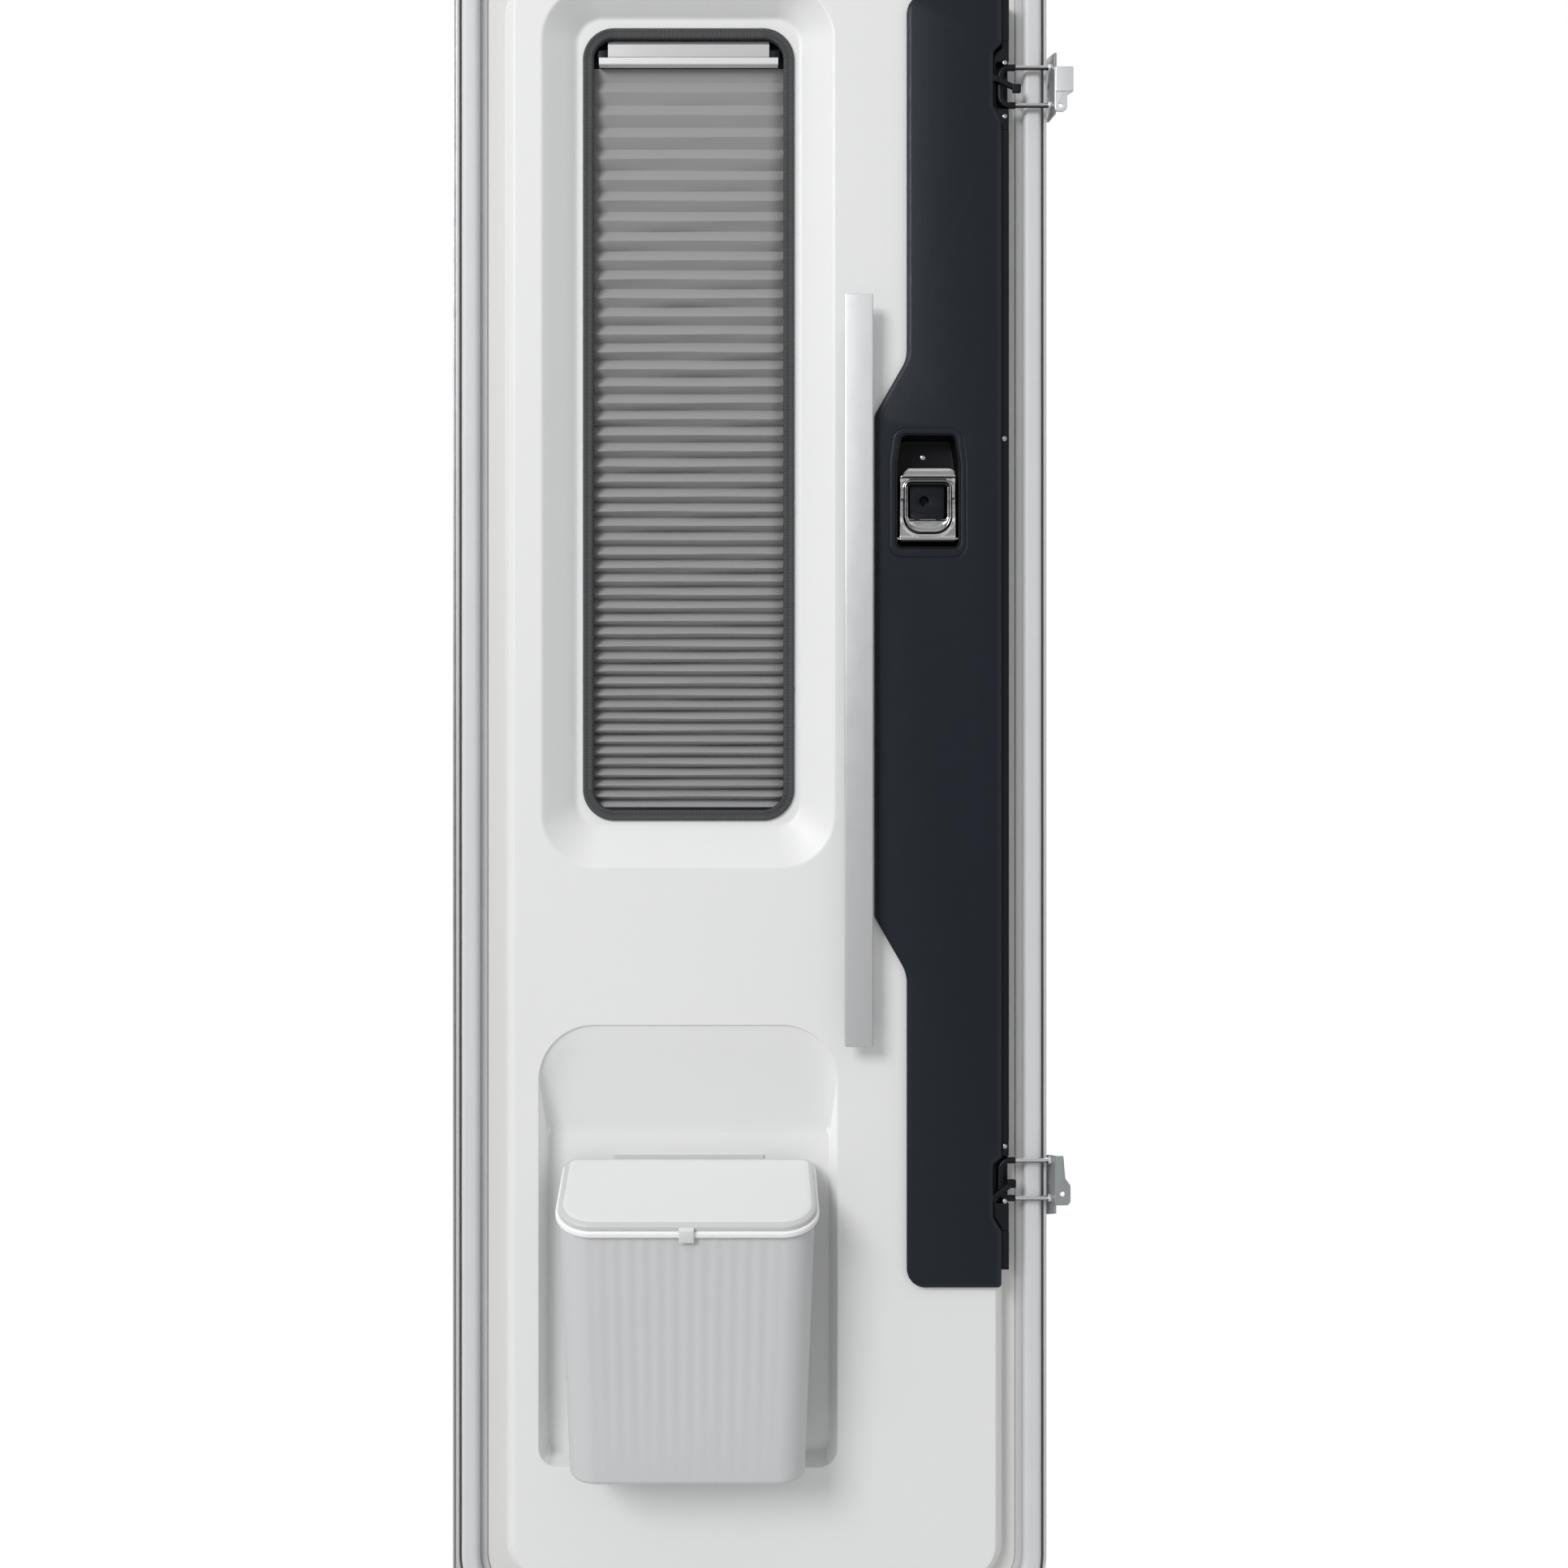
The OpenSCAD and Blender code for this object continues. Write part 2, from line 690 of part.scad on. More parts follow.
module perimeter_seal() {
    mid = fin_w + groove_w + seat_w / 2;
    bulb = seal_w / 2;
    color("whitesmoke")
        carried(leaf_x0, leaf_x1, -leaf_z, leaf_z, leaf_r)
            difference() {
                union() {
                    translate([mid - seal_foot / 2, floor_y - seal_h + bulb])
                        square([seal_foot, seal_h - bulb]);
                    intersection() {
                        translate([mid, floor_y - seal_h + bulb]) circle(bulb);
                        translate([mid - bulb, floor_y - seal_h - over])
                            square([seal_w, seal_h + over - ledge_h - fit]);
                    }
                }
                translate([mid, floor_y - seal_h + bulb]) circle(bulb - seal_wall);
            }
}

module block(x0, x1, z0, z1, y0 = face_y + liner_t, y1 = core_y) {
    translate([x0, y0, z0]) cube([x1 - x0, y1 - y0, z1 - z0]);
}

// Foam blocks and stiles between the liner and the outer skin
module door_core() {
    gap = 0.2;
    in_x0 = panel_x0 + liner_roll + gap;
    in_x1 = panel_x1 - liner_roll - gap;
    rim0 = bay_x - rim_w / 2 - liner_t;
    rim1 = bay_x + rim_w / 2 + liner_t;
    col = cup_x - cup_w / 2 - cup_t - 2;
    col1 = cup_x + cup_w / 2 + cup_t + 2;
    low = niche_bottom - liner_t;
    cup0 = handle_z - cup_h / 2 - cup_t - 2;
    cup1 = handle_z + cup_h / 2 + cup_t + 2;
    end_z = panel_z - liner_roll - gap;
    out_x0 = leaf_x0 + frame_in + gap;
    out_x1 = leaf_x1 - frame_in - gap;
    out_z = leaf_z - frame_in - gap;
    color("cornsilk")
        difference() {
            union() {
                block(in_x0, in_x1, rim_top + liner_t, end_z);
                block(in_x0, rim0, rim_bottom - liner_t + gap, rim_top + liner_t - gap);
                block(rim1, col - gap, rim_bottom - liner_t + gap, rim_top + liner_t - gap);
                block(in_x0, col - gap, ramp_end + liner_t + gap, rim_bottom - liner_t);
                block(in_x0, niche_x0 + niche_draft, low + gap, ramp_end + liner_t);
                block(niche_x1 - niche_draft, col - gap, low + gap, ramp_end + liner_t);
                block(niche_x0 + niche_draft + gap, niche_x1 - niche_draft - gap, low + gap,
                    ramp_end + liner_t, niche_y + liner_t + gap);
                block(in_x0, col - gap, -end_z, low);
                block(col, in_x1, -end_z, cup0 - gap);
                block(col, in_x1, cup1 + gap, rim_top + liner_t - gap);
                block(col1, in_x1, cup0, cup1);
                block(out_x0, in_x0 - gap, -out_z, out_z, flange_y);
                block(in_x1 + gap, out_x1, -out_z, out_z, flange_y);
                block(in_x0, in_x1, end_z + gap, out_z, flange_y);
                block(in_x0, in_x1, -out_z, -end_z - gap, flange_y);
            }
            surround_form(liner_t + gap);
            niche_form(liner_t + gap);
            for (k = [0, 1])
                plate(face_y - over, flange_y) housing_outline(k, gap);
            plate(-over, core_y + over)
                difference() {
                    leaf_outline(-20);
                    leaf_outline(frame_in + gap);
                }
            plate(flange_y - 30, over)
                difference() {
                    leaf_outline(-20);
                    leaf_outline(frame_in + gap);
                }
            plate(face_y - over, flange_y)
                difference() {
                    leaf_outline(0);
                    panel_outline(liner_roll);
                }
        }
}

module inner_liner() {
    color("whitesmoke")
        difference() {
            union() {
                plate(floor_y, flange_y)
                    difference() {
                        leaf_outline(frame_in + fit / 2);
                        panel_outline(1);
                    }
                carried(panel_x0, panel_x1, -panel_z, panel_z, liner_r)
                    difference() {
                        union() {
                            translate([0, face_y + liner_roll])
                                square([liner_t, liner_rise - liner_roll + liner_t]);
                            translate([liner_roll, face_y + liner_roll]) circle(liner_roll);
                        }
                        translate([liner_roll, face_y + liner_roll]) circle(liner_roll - liner_t);
                        translate([liner_t, face_y + liner_roll]) square(2 * liner_roll);
                        translate([liner_roll, face_y - over]) square(3 * liner_roll);
                    }
                plate(face_y, face_y + liner_t) panel_outline(liner_roll - 0.1);
                surround_form(liner_t);
                niche_form_shell();
            }
            surround_form(0);
            plate(face_y - over, face_y + 0.01) surround_outline(0);
            plate(rim_y - over, rim_y + 2 * liner_t) trim_outline(open_in - 2);
            niche_form(0);
            plate(face_y - over, 0) cup_outline(cup_t + 0.4);
            for (k = [0, 1]) {
                plate(face_y - over, floor_y - 0.01) housing_outline(k, 0);
                plate(floor_y - over, flange_y + over)
                    translate([housing_x0, housing_mid[k] - housing_h / 2])
                        square([panel_x1 - housing_x0, housing_h]);
            }
        }
}

module niche_form_shell() {
    intersection() {
        niche_form(liner_t);
        plate(face_y, 0) niche_mouth(2 * liner_t);
    }
}

module window_frame() {
    color("white")
        difference() {
            plate(rim_y + liner_t, core_y) rim_outline(0);
            plate(rim_y, core_y + over) trim_outline(open_in);
            plate(rim_y, core_y - 2)
                round_rect(trim_x0 + open_in, trim_x1 - open_in, trim_z0 + open_in, trim_z1 - open_in, 1);
        }
    color("white")
        plate(core_y, skin_y)
            difference() {
                trim_outline(open_in - 8);
                trim_outline(open_in);
            }
}

module window_gasket() {
    color("#202124")
        plate(skin_y, skin_y + 2)
            difference() {
                trim_outline(-pane_lap + 3);
                trim_outline(open_in - 6);
            }
}

module window_outer_pane() {
    color([0.25, 0.27, 0.29, 0.6])
        plate(skin_y + 2, skin_y + 2 + pane_t) trim_outline(-pane_lap);
}

module window_inner_pane() {
    color([0.6, 0.65, 0.68, 0.5])
        plate(core_y - 2, core_y) trim_outline(open_in + 0.2);
}

module window_trim() {
    reach = rim_y + liner_t;
    color("#4a4c4d")
        carried(trim_x0, trim_x1, trim_z0, trim_z1, trim_r) {
            translate([0, rim_y - trim_h + 2]) square([trim_w, trim_h - 2]);
            translate([2, rim_y - trim_h]) square([trim_w - 4, trim_h]);
            for (s = [2, trim_w - 2])
                translate([s, rim_y - trim_h + 2]) circle(2, $fn = 24);
        }
}

// Cassette with a plain end piece set back at each side
module blind_cassette() {
    z1 = cassette_top;
    half = (trim_x1 - trim_x0) / 2 - trim_w - cassette_gap;
    color("lightgray") {
        block(bay_x - half, bay_x + half, z1 - cassette_h, z1, rim_y - 3, rim_y + liner_t + 6);
        block(bay_x - half - cassette_gap + 4, bay_x + half + cassette_gap - 4, z1 - cassette_h, z1 - 5,
            rim_y + 1, rim_y + liner_t + 5);
    }
}

module blind_pull_bar() {
    z1 = cassette_top - cassette_h - fit;
    half = (trim_x1 - trim_x0) / 2 - trim_w - pull_bar_gap;
    color("white")
        block(bay_x - half, bay_x + half, z1 - pull_bar_h, z1, rim_y - 3.6, rim_y - 3.6 + pull_bar_d);
}

// Heights of the fold lines: the cloth hangs down from the pull bar, and its pleats close up downwards
cassette_top = trim_z1 - trim_w - 1.5;
cloth_top = cassette_top - cassette_h - pull_bar_h - 2 * fit;
cloth_bottom = trim_z0 + open_in + cloth_up;
cloth_h = cloth_top - cloth_bottom;
function drop(n) = pleat_end * n + (pleat_top - pleat_end) * pleat_fade * (1 - exp(-n / pleat_fade));
function fold_z(k) = cloth_top - cloth_h * drop(k / 2) / drop(pleats);
function fold_in(k) = let (p = (drop(k / 2 + 1) - drop(k / 2)) * cloth_h / drop(pleats))
    sqrt(pleat_len * pleat_len - p * p / 4) / 2;
function fold_y(k, side) = (k % 2 == 0 ? -1 : 1) * fold_in(k) + side * cloth_t / 2;

module blind_fabric() {
    mid_y = rim_y + 9.4;
    front = [for (k = [0:2 * pleats]) [fold_y(k, -1) + mid_y, fold_z(k)]];
    back = [for (k = [2 * pleats:-1:0]) [fold_y(k, 1) + mid_y, fold_z(k)]];
    color("darkgray")
        translate([trim_x0 + open_in + 0.4, 0, 0])
            rotate([90, 0, 90])
                linear_extrude(trim_x1 - trim_x0 - 2 * open_in - 0.8)
                    polygon(concat(front, back));
}

module grab_bar() {
    y1 = face_y - bar_gap;
    color("silver")
        block(leaf_x0 + bar_x - bar_w / 2, leaf_x0 + bar_x + bar_w / 2,
            bar_mid - bar_len / 2, bar_mid + bar_len / 2, y1 - bar_t, y1);
}

module grab_bar_posts() {
    color("silver")
        for (side = [-1, 1])
            translate([leaf_x0 + bar_x, face_y, bar_mid + side * (bar_len / 2 - post_in)])
                rotate([90, 0, 0]) cylinder(h = bar_gap, r = post_r);
}

// Corner points of an outline turned into arcs, each corner given as x, z and radius
function arc_corner(a, b, c, r) =
    let (u = (a - b) / norm(a - b), v = (c - b) / norm(c - b),
        half = acos(u * v) / 2, cut = r / tan(half),
        mid = b + (u + v) / norm(u + v) * r / sin(half),
        p = b + u * cut, q = b + v * cut,
        steps = max(2, ceil((180 - 2 * half) / 8)))
    [for (k = [0:steps]) let (w = p + (q - p) * k / steps, d = w - mid) mid + d / norm(d) * r];

function rounded(points) =
    let (n = len(points))
    [for (k = [0:n - 1])
        let (a = points[(k + n - 1) % n], b = points[k], c = points[(k + 1) % n])
            each arc_corner([a[0], a[1]], [b[0], b[1]], [c[0], c[1]], b[2])];

module cover_outline(x_right) {
    x0 = leaf_x0 + cover_x;
    z_top = latch_top;
    z_low = latch_low;
    polygon(rounded([[x0, cover_bottom, cover_r], [x0, bulge_bottom, 40],
        [x0 - bulge, bulge_bottom + bulge_slope, 12], [x0 - bulge, bulge_top - bulge_slope, 12],
        [x0, bulge_top, 40], [x0, cover_top, cover_r], [x_right, cover_top, 4],
        [x_right, z_top + 43, 3], [notch_x, z_top + 34, 5], [notch_x, z_top - 25, 8],
        [x_right, z_top - 41, 4], [x_right, z_low + 27, 4], [notch_x, z_low + 18.5, 5],
        [notch_x, z_low - 39, 8], [x_right, z_low - 54, 4], [x_right, cover_bottom, 4]]));
}

// Space behind the cover's face that a claw turns in
module claw_room(z, k) {
    x0 = claw_x - 7;
    down = claw_turn[k] < 0;
    plate(claw_y - claw_t - 1, cover_y + over)
        translate([x0, z + claw_pin[k] - (down ? claw_len + 7 : 10)])
            square([notch_x + 12 - x0, claw_len + 17]);
}

module lock_cover() {
    color("#26292f")
        difference() {
            union() {
                plate(cover_face, cover_y) cover_outline(leaf_x0 + cover_x + cover_w);
                plate(cover_face - border_t, cover_face + 0.1) cup_outline(cup_border, 3);
            }
            plate(cover_face - 2, cover_y + over) cup_outline(cup_t + 0.2);
            claw_room(latch_top, 0);
            claw_room(latch_low, 1);
        }
}

module lock_rail() {
    rail_top = cover_top;
    x0 = leaf_x0 + cover_x + cover_w + 0.3;
    half = housing_h / 2 + 0.3;
    color("#141517")
        for (run = [[rail_bottom, housing_mid[1] - half], [housing_mid[1] + half, housing_mid[0] - half],
                [housing_mid[0] + half, rail_top]]) {
            block(panel_x1 + 0.2, panel_x1 + rail_w, run[0], run[1], face_y - 1.5, floor_y);
            block(x0, panel_x1 + rail_w, run[0], run[1], face_y - 1.5, face_y - 0.2);
        }
}

// Block behind a claw: a pocket for the loop, and a pivot boss behind the cover
module latch_housing(k) {
    z = k == 0 ? latch_top : latch_low;
    mid = housing_mid[k];
    half = housing_h / 2;
    right = panel_x1 + rail_w;
    edge = leaf_x0 + cover_x + cover_w;
    top = k == 0 ? 34 : 18.5;
    low = k == 0 ? -25 : -39;
    end = k == 0 ? -41 : -54;
    color("#141517") {
        difference() {
            union() {
                plate(face_y, floor_y)
                    translate([housing_x0 + 0.2, mid - half]) square([right - housing_x0 - 0.2, 2 * half]);
                plate(housing_y, face_y + 0.01)
                    polygon([[notch_x + 1.2, z + low], [notch_x + 1.2, z + top - 2], [edge - 2, z + top + 4],
                        [edge + 0.8, z + top + 6], [edge + 0.8, mid + half], [right, mid + half],
                        [right, mid - half], [edge + 0.8, mid - half], [edge + 0.8, z + end + 1.5]]);
            }
            plate(housing_y - over, loop_y + sleeve_r + 1.5)
                translate([loop_x - sleeve_r - 1.7, z - pocket_h / 2]) square([60, pocket_h]);
            for (dz = k == 0 ? [24.3, -33.8] : [36.5, -22.9])
                translate([panel_x1 + 1.6, housing_y + 10, z + dz])
                    rotate([90, 0, 0]) cylinder(h = 10 + over, r = 1.9);
        }
        translate([claw_x, 0, z + claw_pin[k]]) {
            translate([0, claw_y + 0.2, 0]) rotate([-90, 0, 0]) cylinder(h = face_y - claw_y, r = 5);
            translate([0, claw_y - claw_t - 0.5, 0])
                rotate([-90, 0, 0]) cylinder(h = face_y - claw_y + claw_t + 0.6, r = 2.4);
        }
    }
}

module latch_housing_upper() { latch_housing(0); }
module latch_housing_lower() { latch_housing(1); }

// Hook that turns on its pivot behind the cover: a sloping arm with a square head and end
module claw(z, k) {
    slope = k == 0 ? -claw_rest : claw_rest_low;
    tip = (claw_len - claw_end / 2) * [cos(slope), sin(slope)];
    head = 0.45 * tip;
    color("#1b1c1e")
        plate(claw_y - claw_t, claw_y)
            translate([claw_x, z + claw_pin[k]])
                difference() {
                    union() {
                        circle(4.8);
                        rotate(slope) translate([0, -claw_w / 2]) square([claw_len - claw_end / 2, claw_w]);
                        translate(head) square([8, 6.4], center = true);
                        translate(tip) square([claw_end, claw_end], center = true);
                    }
                    circle(2.4 + pin_fit);
                }
}

module claw_upper() { claw(latch_top, 0); }
module claw_lower() { claw(latch_low, 1); }

module handle_cup() {
    color("#1b1c1e")
        difference() {
            plate(cover_face - border_t, cup_back + cup_t) cup_outline(cup_t);
            plate(cover_face - 3, cup_back) cup_outline(0);
            translate([cup_x - cup_w, lever_axis[0], lever_axis[1]])
                rotate([0, 90, 0]) cylinder(h = 2 * cup_w, r = lever_pin_r + pin_fit);
        }
}

module handle_block() {
    z0 = lever_foot + 18;
    color("#202226")
        difference() {
            block(cup_x - 19, cup_x + 19, z0, z0 + 50, lever_y + lever_t + 4.5, cup_back);
            translate([cup_x - 3, lever_y, z0 + 28])
                rotate([-90, 0, 0]) cylinder(h = 14, r = 5.3);
        }
}

module lever_pin() {
    color("silver")
        translate([cup_x - cup_w / 2 - cup_t / 2, lever_axis[0], lever_axis[1]])
            rotate([0, 90, 0]) cylinder(h = cup_w + cup_t, r = lever_pin_r);
}

module inner_lever() {
    win0 = lever_foot + 24.5;
    color("silver")
        difference() {
            union() {
                plate(lever_y, lever_y + lever_t)
                    difference() {
                        polygon(rounded([[cup_x - lever_w / 2, lever_foot, 3],
                            [cup_x - lever_w / 2, lever_foot + lever_h - lever_cut, 2.5],
                            [cup_x - lever_w / 2 + lever_cut, lever_foot + lever_h, 2.5],
                            [cup_x + lever_w / 2, lever_foot + lever_h, 7], [cup_x + lever_w / 2, lever_foot, 3]]));
                        round_rect(cup_x - lever_win_w / 2, cup_x + lever_win_w / 2, win0,
                            win0 + lever_win_h, 6);
                    }
                block(cup_x - lever_w / 2 + 9, cup_x + lever_w / 2 - 9, lever_foot + lever_h - 3,
                    lever_foot + lever_h, lever_y + lever_t - 0.01, lever_y + lever_t + 6);
                translate([cup_x - lever_w / 2, lever_axis[0], lever_axis[1]])
                    rotate([0, 90, 0]) cylinder(h = lever_w, r = 4.2);
            }
            translate([cup_x - lever_w, lever_axis[0], lever_axis[1]])
                rotate([0, 90, 0]) cylinder(h = 2 * lever_w, r = lever_pin_r + pin_fit);
        }
}

// A channel open at the top, screwed to the recess's back
module bin_hanger() {
    color("gainsboro") {
        block(bay_x - hanger_w / 2, bay_x + hanger_w / 2, shelf_z - 2, hanger_top,
            niche_y - hanger_t, niche_y);
        block(bay_x - hanger_w / 2, bay_x + hanger_w / 2, shelf_z - 2, shelf_z,
            niche_y - hanger_out, niche_y - hanger_t + 0.01);
        block(bay_x - hanger_w / 2, bay_x + hanger_w / 2, shelf_z - 2, shelf_z + hook_drop - 2,
            niche_y - hanger_out, niche_y - hanger_out + hanger_t);
    }
}

module tilted() {
    translate([bin_mid, bin_back, lid_z]) rotate([lid_slope, 0, 0]) children();
}

module lid_plan(grow) {
    w = lid_w / 2 + grow;
    round_rect(-w, w, -lid_d - grow, grow, lid_rear_r + grow, lid_front_r + grow);
}

// Lid whose rear edge is a round nose on its pivot, with a slot at each end for the ring's lugs
module bin_lid() {
    nose = lug_x + 3.5;
    tab_y = -lid_d - ring_lap - fit;
    color("white")
        tilted()
            difference() {
                union() {
                    difference() {
                        union() {
                            translate([0, 0, -lid_t]) linear_extrude(lid_t - 3) lid_plan(0);
                            hull() {
                                translate([0, 0, -3.1]) linear_extrude(0.1) lid_plan(0);
                                translate([0, 0, -0.1]) linear_extrude(0.1) lid_plan(-3);
                            }
                        }
                        translate([-lid_w, lid_pivot[0], -lid_t - over]) cube([2 * lid_w, lid_d, lid_t + 2 * over]);
                    }
                    translate([-nose, lid_pivot[0], lid_pivot[1]])
                        rotate([0, 90, 0]) cylinder(h = 2 * nose, r = lid_nose);
                    translate([-7.8, tab_y - 2.4, -lid_t - 11]) cube([15.6, 2.4, lid_t + 7]);
                    translate([-7.8, tab_y - 2.4, -6]) cube([15.6, ring_lap + fit + 4, 2.4]);
                }
                for (side = [-1, 1])
                    translate([side * lug_x - 3.5, lid_pivot[0] - lid_nose - 1.2, -lid_t - over])
                        cube([7, lid_nose * 2 + 4, lid_t + 2 * over]);
                translate([-lug_x, lid_pivot[0], lid_pivot[1]])
                    rotate([0, 90, 0]) cylinder(h = 2 * lug_x, r = 1.5 + pin_fit, $fn = 24);
            }
}

// Ring clipped over the body's rim; two lugs at its back carry the lid's pivot stubs
module bin_ring() {
    color("white")
        tilted() {
            translate([0, 0, -lid_t - fit - ring_t]) linear_extrude(ring_t)
                difference() {
                    lid_plan(ring_lap);
                    lid_plan(-8);
                }
            for (side = [-1, 1]) {
                translate([side * lug_x - 2.9, lid_pivot[0] - 3.2, -lid_t - fit - 0.1])
                    cube([5.8, 6.4, lid_t + fit + 0.1 + lid_pivot[1]]);
                translate([side * lug_x - 2.9, lid_pivot[0], lid_pivot[1]])
                    rotate([0, 90, 0]) cylinder(h = 5.8, r = 3.2);
                translate([side * (lug_x - 2.9) - (side > 0 ? 8 : 0), lid_pivot[0], lid_pivot[1]])
                    rotate([0, 90, 0]) cylinder(h = 8, r = 1.5, $fn = 24);
            }
        }
}

module body_plan(w, y0, y1, grow) {
    round_rect(-w / 2 - grow, w / 2 + grow, y0 - grow, y1 + grow, 12 + grow, body_r + grow);
}

module body_form(grow, z0) {
    depth = lid_d * lid_cos - 5;
    translate([bin_mid, bin_back, 0])
        hull() {
            translate([0, 0, lid_z - 8]) linear_extrude(0.1) body_plan(body_top_w, -depth, -3, grow);
            translate([0, 0, z0]) linear_extrude(0.1)
                body_plan(body_foot_w, body_lean - depth, -3, grow);
        }
}

module bin_body() {
    color("gainsboro")
        difference() {
            body_form(0, body_foot);
            body_form(-body_wall, body_foot + body_wall);
            tilted() translate([-lid_w, -2 * lid_d, -lid_t - fit - ring_t]) cube([2 * lid_w, 3 * lid_d, lid_w]);
        }
    color("gainsboro") {
        block(bin_mid - hook_w / 2, bin_mid + hook_w / 2, shelf_z + fit, shelf_z + hook_drop + 3,
            niche_y - hanger_t - 0.9 - hook_t, niche_y - hanger_t - 0.9);
        block(bin_mid - hook_w / 2, bin_mid + hook_w / 2, shelf_z + hook_drop, shelf_z + hook_drop + 3,
            body_back - 0.5, niche_y - hanger_t - 0.9);
    }
}

module outer_handle_plate() {
    color("#1b1c1e")
        difference() {
            union() {
                plate(skin_y, skin_y + 3)
                    round_rect(cup_x - grip_w / 2, cup_x + grip_w / 2, handle_z - grip_low,
                        handle_z - grip_low + grip_h, 18);
                plate(cup_back + cup_t + 3, skin_y + 0.1) grip_cup_outline(1.6);
            }
            plate(cup_back + cup_t + 5, skin_y + 5) grip_cup_outline(0);
            translate([cup_x, skin_y - over, handle_z + key_rise])
                rotate([-90, 0, 0]) cylinder(h = 8, r = key_r + 0.05);
        }
}

module outer_handle_flap() {
    color("#2a2b2e")
        plate(skin_y - 3, skin_y + 1)
            round_rect(cup_x - grip_cup_w / 2 + 0.5, cup_x + grip_cup_w / 2 - 0.5,
                handle_z - grip_cup_h / 2 + 30, handle_z + grip_cup_h / 2 - 0.5, 13.5, 6);
}

module key_cylinder() {
    color("silver")
        translate([cup_x, skin_y, handle_z + key_rise])
            rotate([-90, 0, 0]) cylinder(h = 5, r = key_r);
}

hinge_wall_strip();
hinge_pin();
keeper_bracket_upper();
keeper_bracket_lower();
keeper_loop_upper();
keeper_loop_lower();
keeper_sleeve_upper();
keeper_sleeve_lower();
hinge_leaf_strip();
outer_skin();
edge_profile();
perimeter_seal();
door_core();
inner_liner();
window_frame();
window_gasket();
window_outer_pane();
window_inner_pane();
window_trim();
blind_cassette();
blind_pull_bar();
blind_fabric();
grab_bar();
grab_bar_posts();
lock_cover();
lock_rail();
latch_housing_upper();
latch_housing_lower();
handle_cup();
handle_block();
lever_pin();
bin_hanger();
outer_handle_plate();
outer_handle_flap();
key_cylinder();
inner_lever();
claw_upper();
claw_lower();
bin_body();
bin_ring();
bin_lid();
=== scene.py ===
"""Looks of a caravan entry door seen from the room: moulded liner, window with pleated blind, lock cover and bin.

Every new piece is a surface worked out with numpy in millimetres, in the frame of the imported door, and is
written in metres. X runs from the hinge edge to the lock edge, Z is up, and the room is on the -Y side.
"""
import json
import math
import bpy
import bmesh
import numpy as np
from mathutils.geometry import tessellate_polygon
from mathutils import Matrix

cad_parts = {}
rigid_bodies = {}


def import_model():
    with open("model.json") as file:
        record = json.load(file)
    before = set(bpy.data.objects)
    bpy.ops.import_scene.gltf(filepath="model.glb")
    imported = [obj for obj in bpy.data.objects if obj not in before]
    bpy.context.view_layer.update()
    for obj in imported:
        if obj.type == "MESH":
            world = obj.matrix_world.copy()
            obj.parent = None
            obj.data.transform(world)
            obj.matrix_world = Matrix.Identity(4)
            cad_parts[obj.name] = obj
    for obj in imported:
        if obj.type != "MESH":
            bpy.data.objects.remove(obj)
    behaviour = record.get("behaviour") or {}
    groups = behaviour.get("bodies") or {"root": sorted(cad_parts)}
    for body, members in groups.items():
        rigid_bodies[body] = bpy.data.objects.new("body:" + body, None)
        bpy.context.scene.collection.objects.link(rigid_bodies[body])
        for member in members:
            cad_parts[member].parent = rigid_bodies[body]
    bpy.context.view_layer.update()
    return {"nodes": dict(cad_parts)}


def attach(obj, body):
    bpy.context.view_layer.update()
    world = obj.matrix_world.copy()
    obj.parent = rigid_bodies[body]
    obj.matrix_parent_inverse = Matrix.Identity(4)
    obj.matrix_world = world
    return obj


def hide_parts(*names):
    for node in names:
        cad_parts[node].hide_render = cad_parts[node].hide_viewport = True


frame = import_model()
node = frame["nodes"]
MM = 0.001

# Places and sizes of the door in millimetres; a rounded rectangle is x0, x1, z0, z1, radius, lower radius
LEAF = (5.0, 650.0, -930.0, 930.0, 79.0)
PANEL = (61.6, 600.2, -878.0, 878.0, 45.0)
FACE_Y, FLOOR_Y, RIM_Y, NICHE_Y = -32.0, -12.0, -7.0, -5.0
BAY_X = 258.5
MOUTH = (100.0, 417.0, -98.0, 857.0, 57.0)
RIM = (136.1, 380.9, -54.5, 834.0, 27.0)
TRIM = (142.2, 374.8, -48.4, 823.4, 34.5)
NICHE = (97.0, 420.0, -749.0, -270.0, 60.0, 21.0)
NICHE_BACK = (104.0, 413.0, -742.0, -388.0, 10.0, 10.0)
COVER_FACE = -40.0
CUP_X, CUP_Z = 517.7, 308.0
LATCHES = {"upper": 749.0, "lower": -437.0}
LOOP_HALF, BASE_HALF, LOWER_DROP = 20.5, 48, 7.0
LOOP_Y, LOOP_X, CLAW_X, NOTCH_X, EDGE_X = -30.0, 597.0, 573.0, 588.5, 597.4
KEEPER_X = 652.6
BIN_X, BIN_BACK, LID_Z, LID_SLOPE = 259.5, -16.0, -415.8, 20.4
LID_PIVOT, LID_NOSE = (-4.0, -4.2), 3.8
CLOTH_X = (152.6, 364.4)


# ---------------------------------------------------------------- shapes
def unit(v):
    """Vectors of length one in the same directions."""
    return v / np.linalg.norm(v, axis=-1, keepdims=True)


def level(outline, at, axis=1):
    """Flat outline put into space: at depth y, or across X where the axis is 0."""
    return np.insert(outline, axis, at, 1)


def length_along(points):
    """Length run so far at each point of a line."""
    return np.concatenate([[0.0], np.cumsum(np.linalg.norm(np.diff(points, axis=0), axis=1))])


def arc(cx, cz, r, start, end, n):
    """Points on a circle about (cx, cz): centre plus r times the cosine and sine of even angles in degrees."""
    a = np.radians(np.linspace(start, end, n + 1))
    return np.stack([cx + r * np.cos(a), cz + r * np.sin(a)], 1)


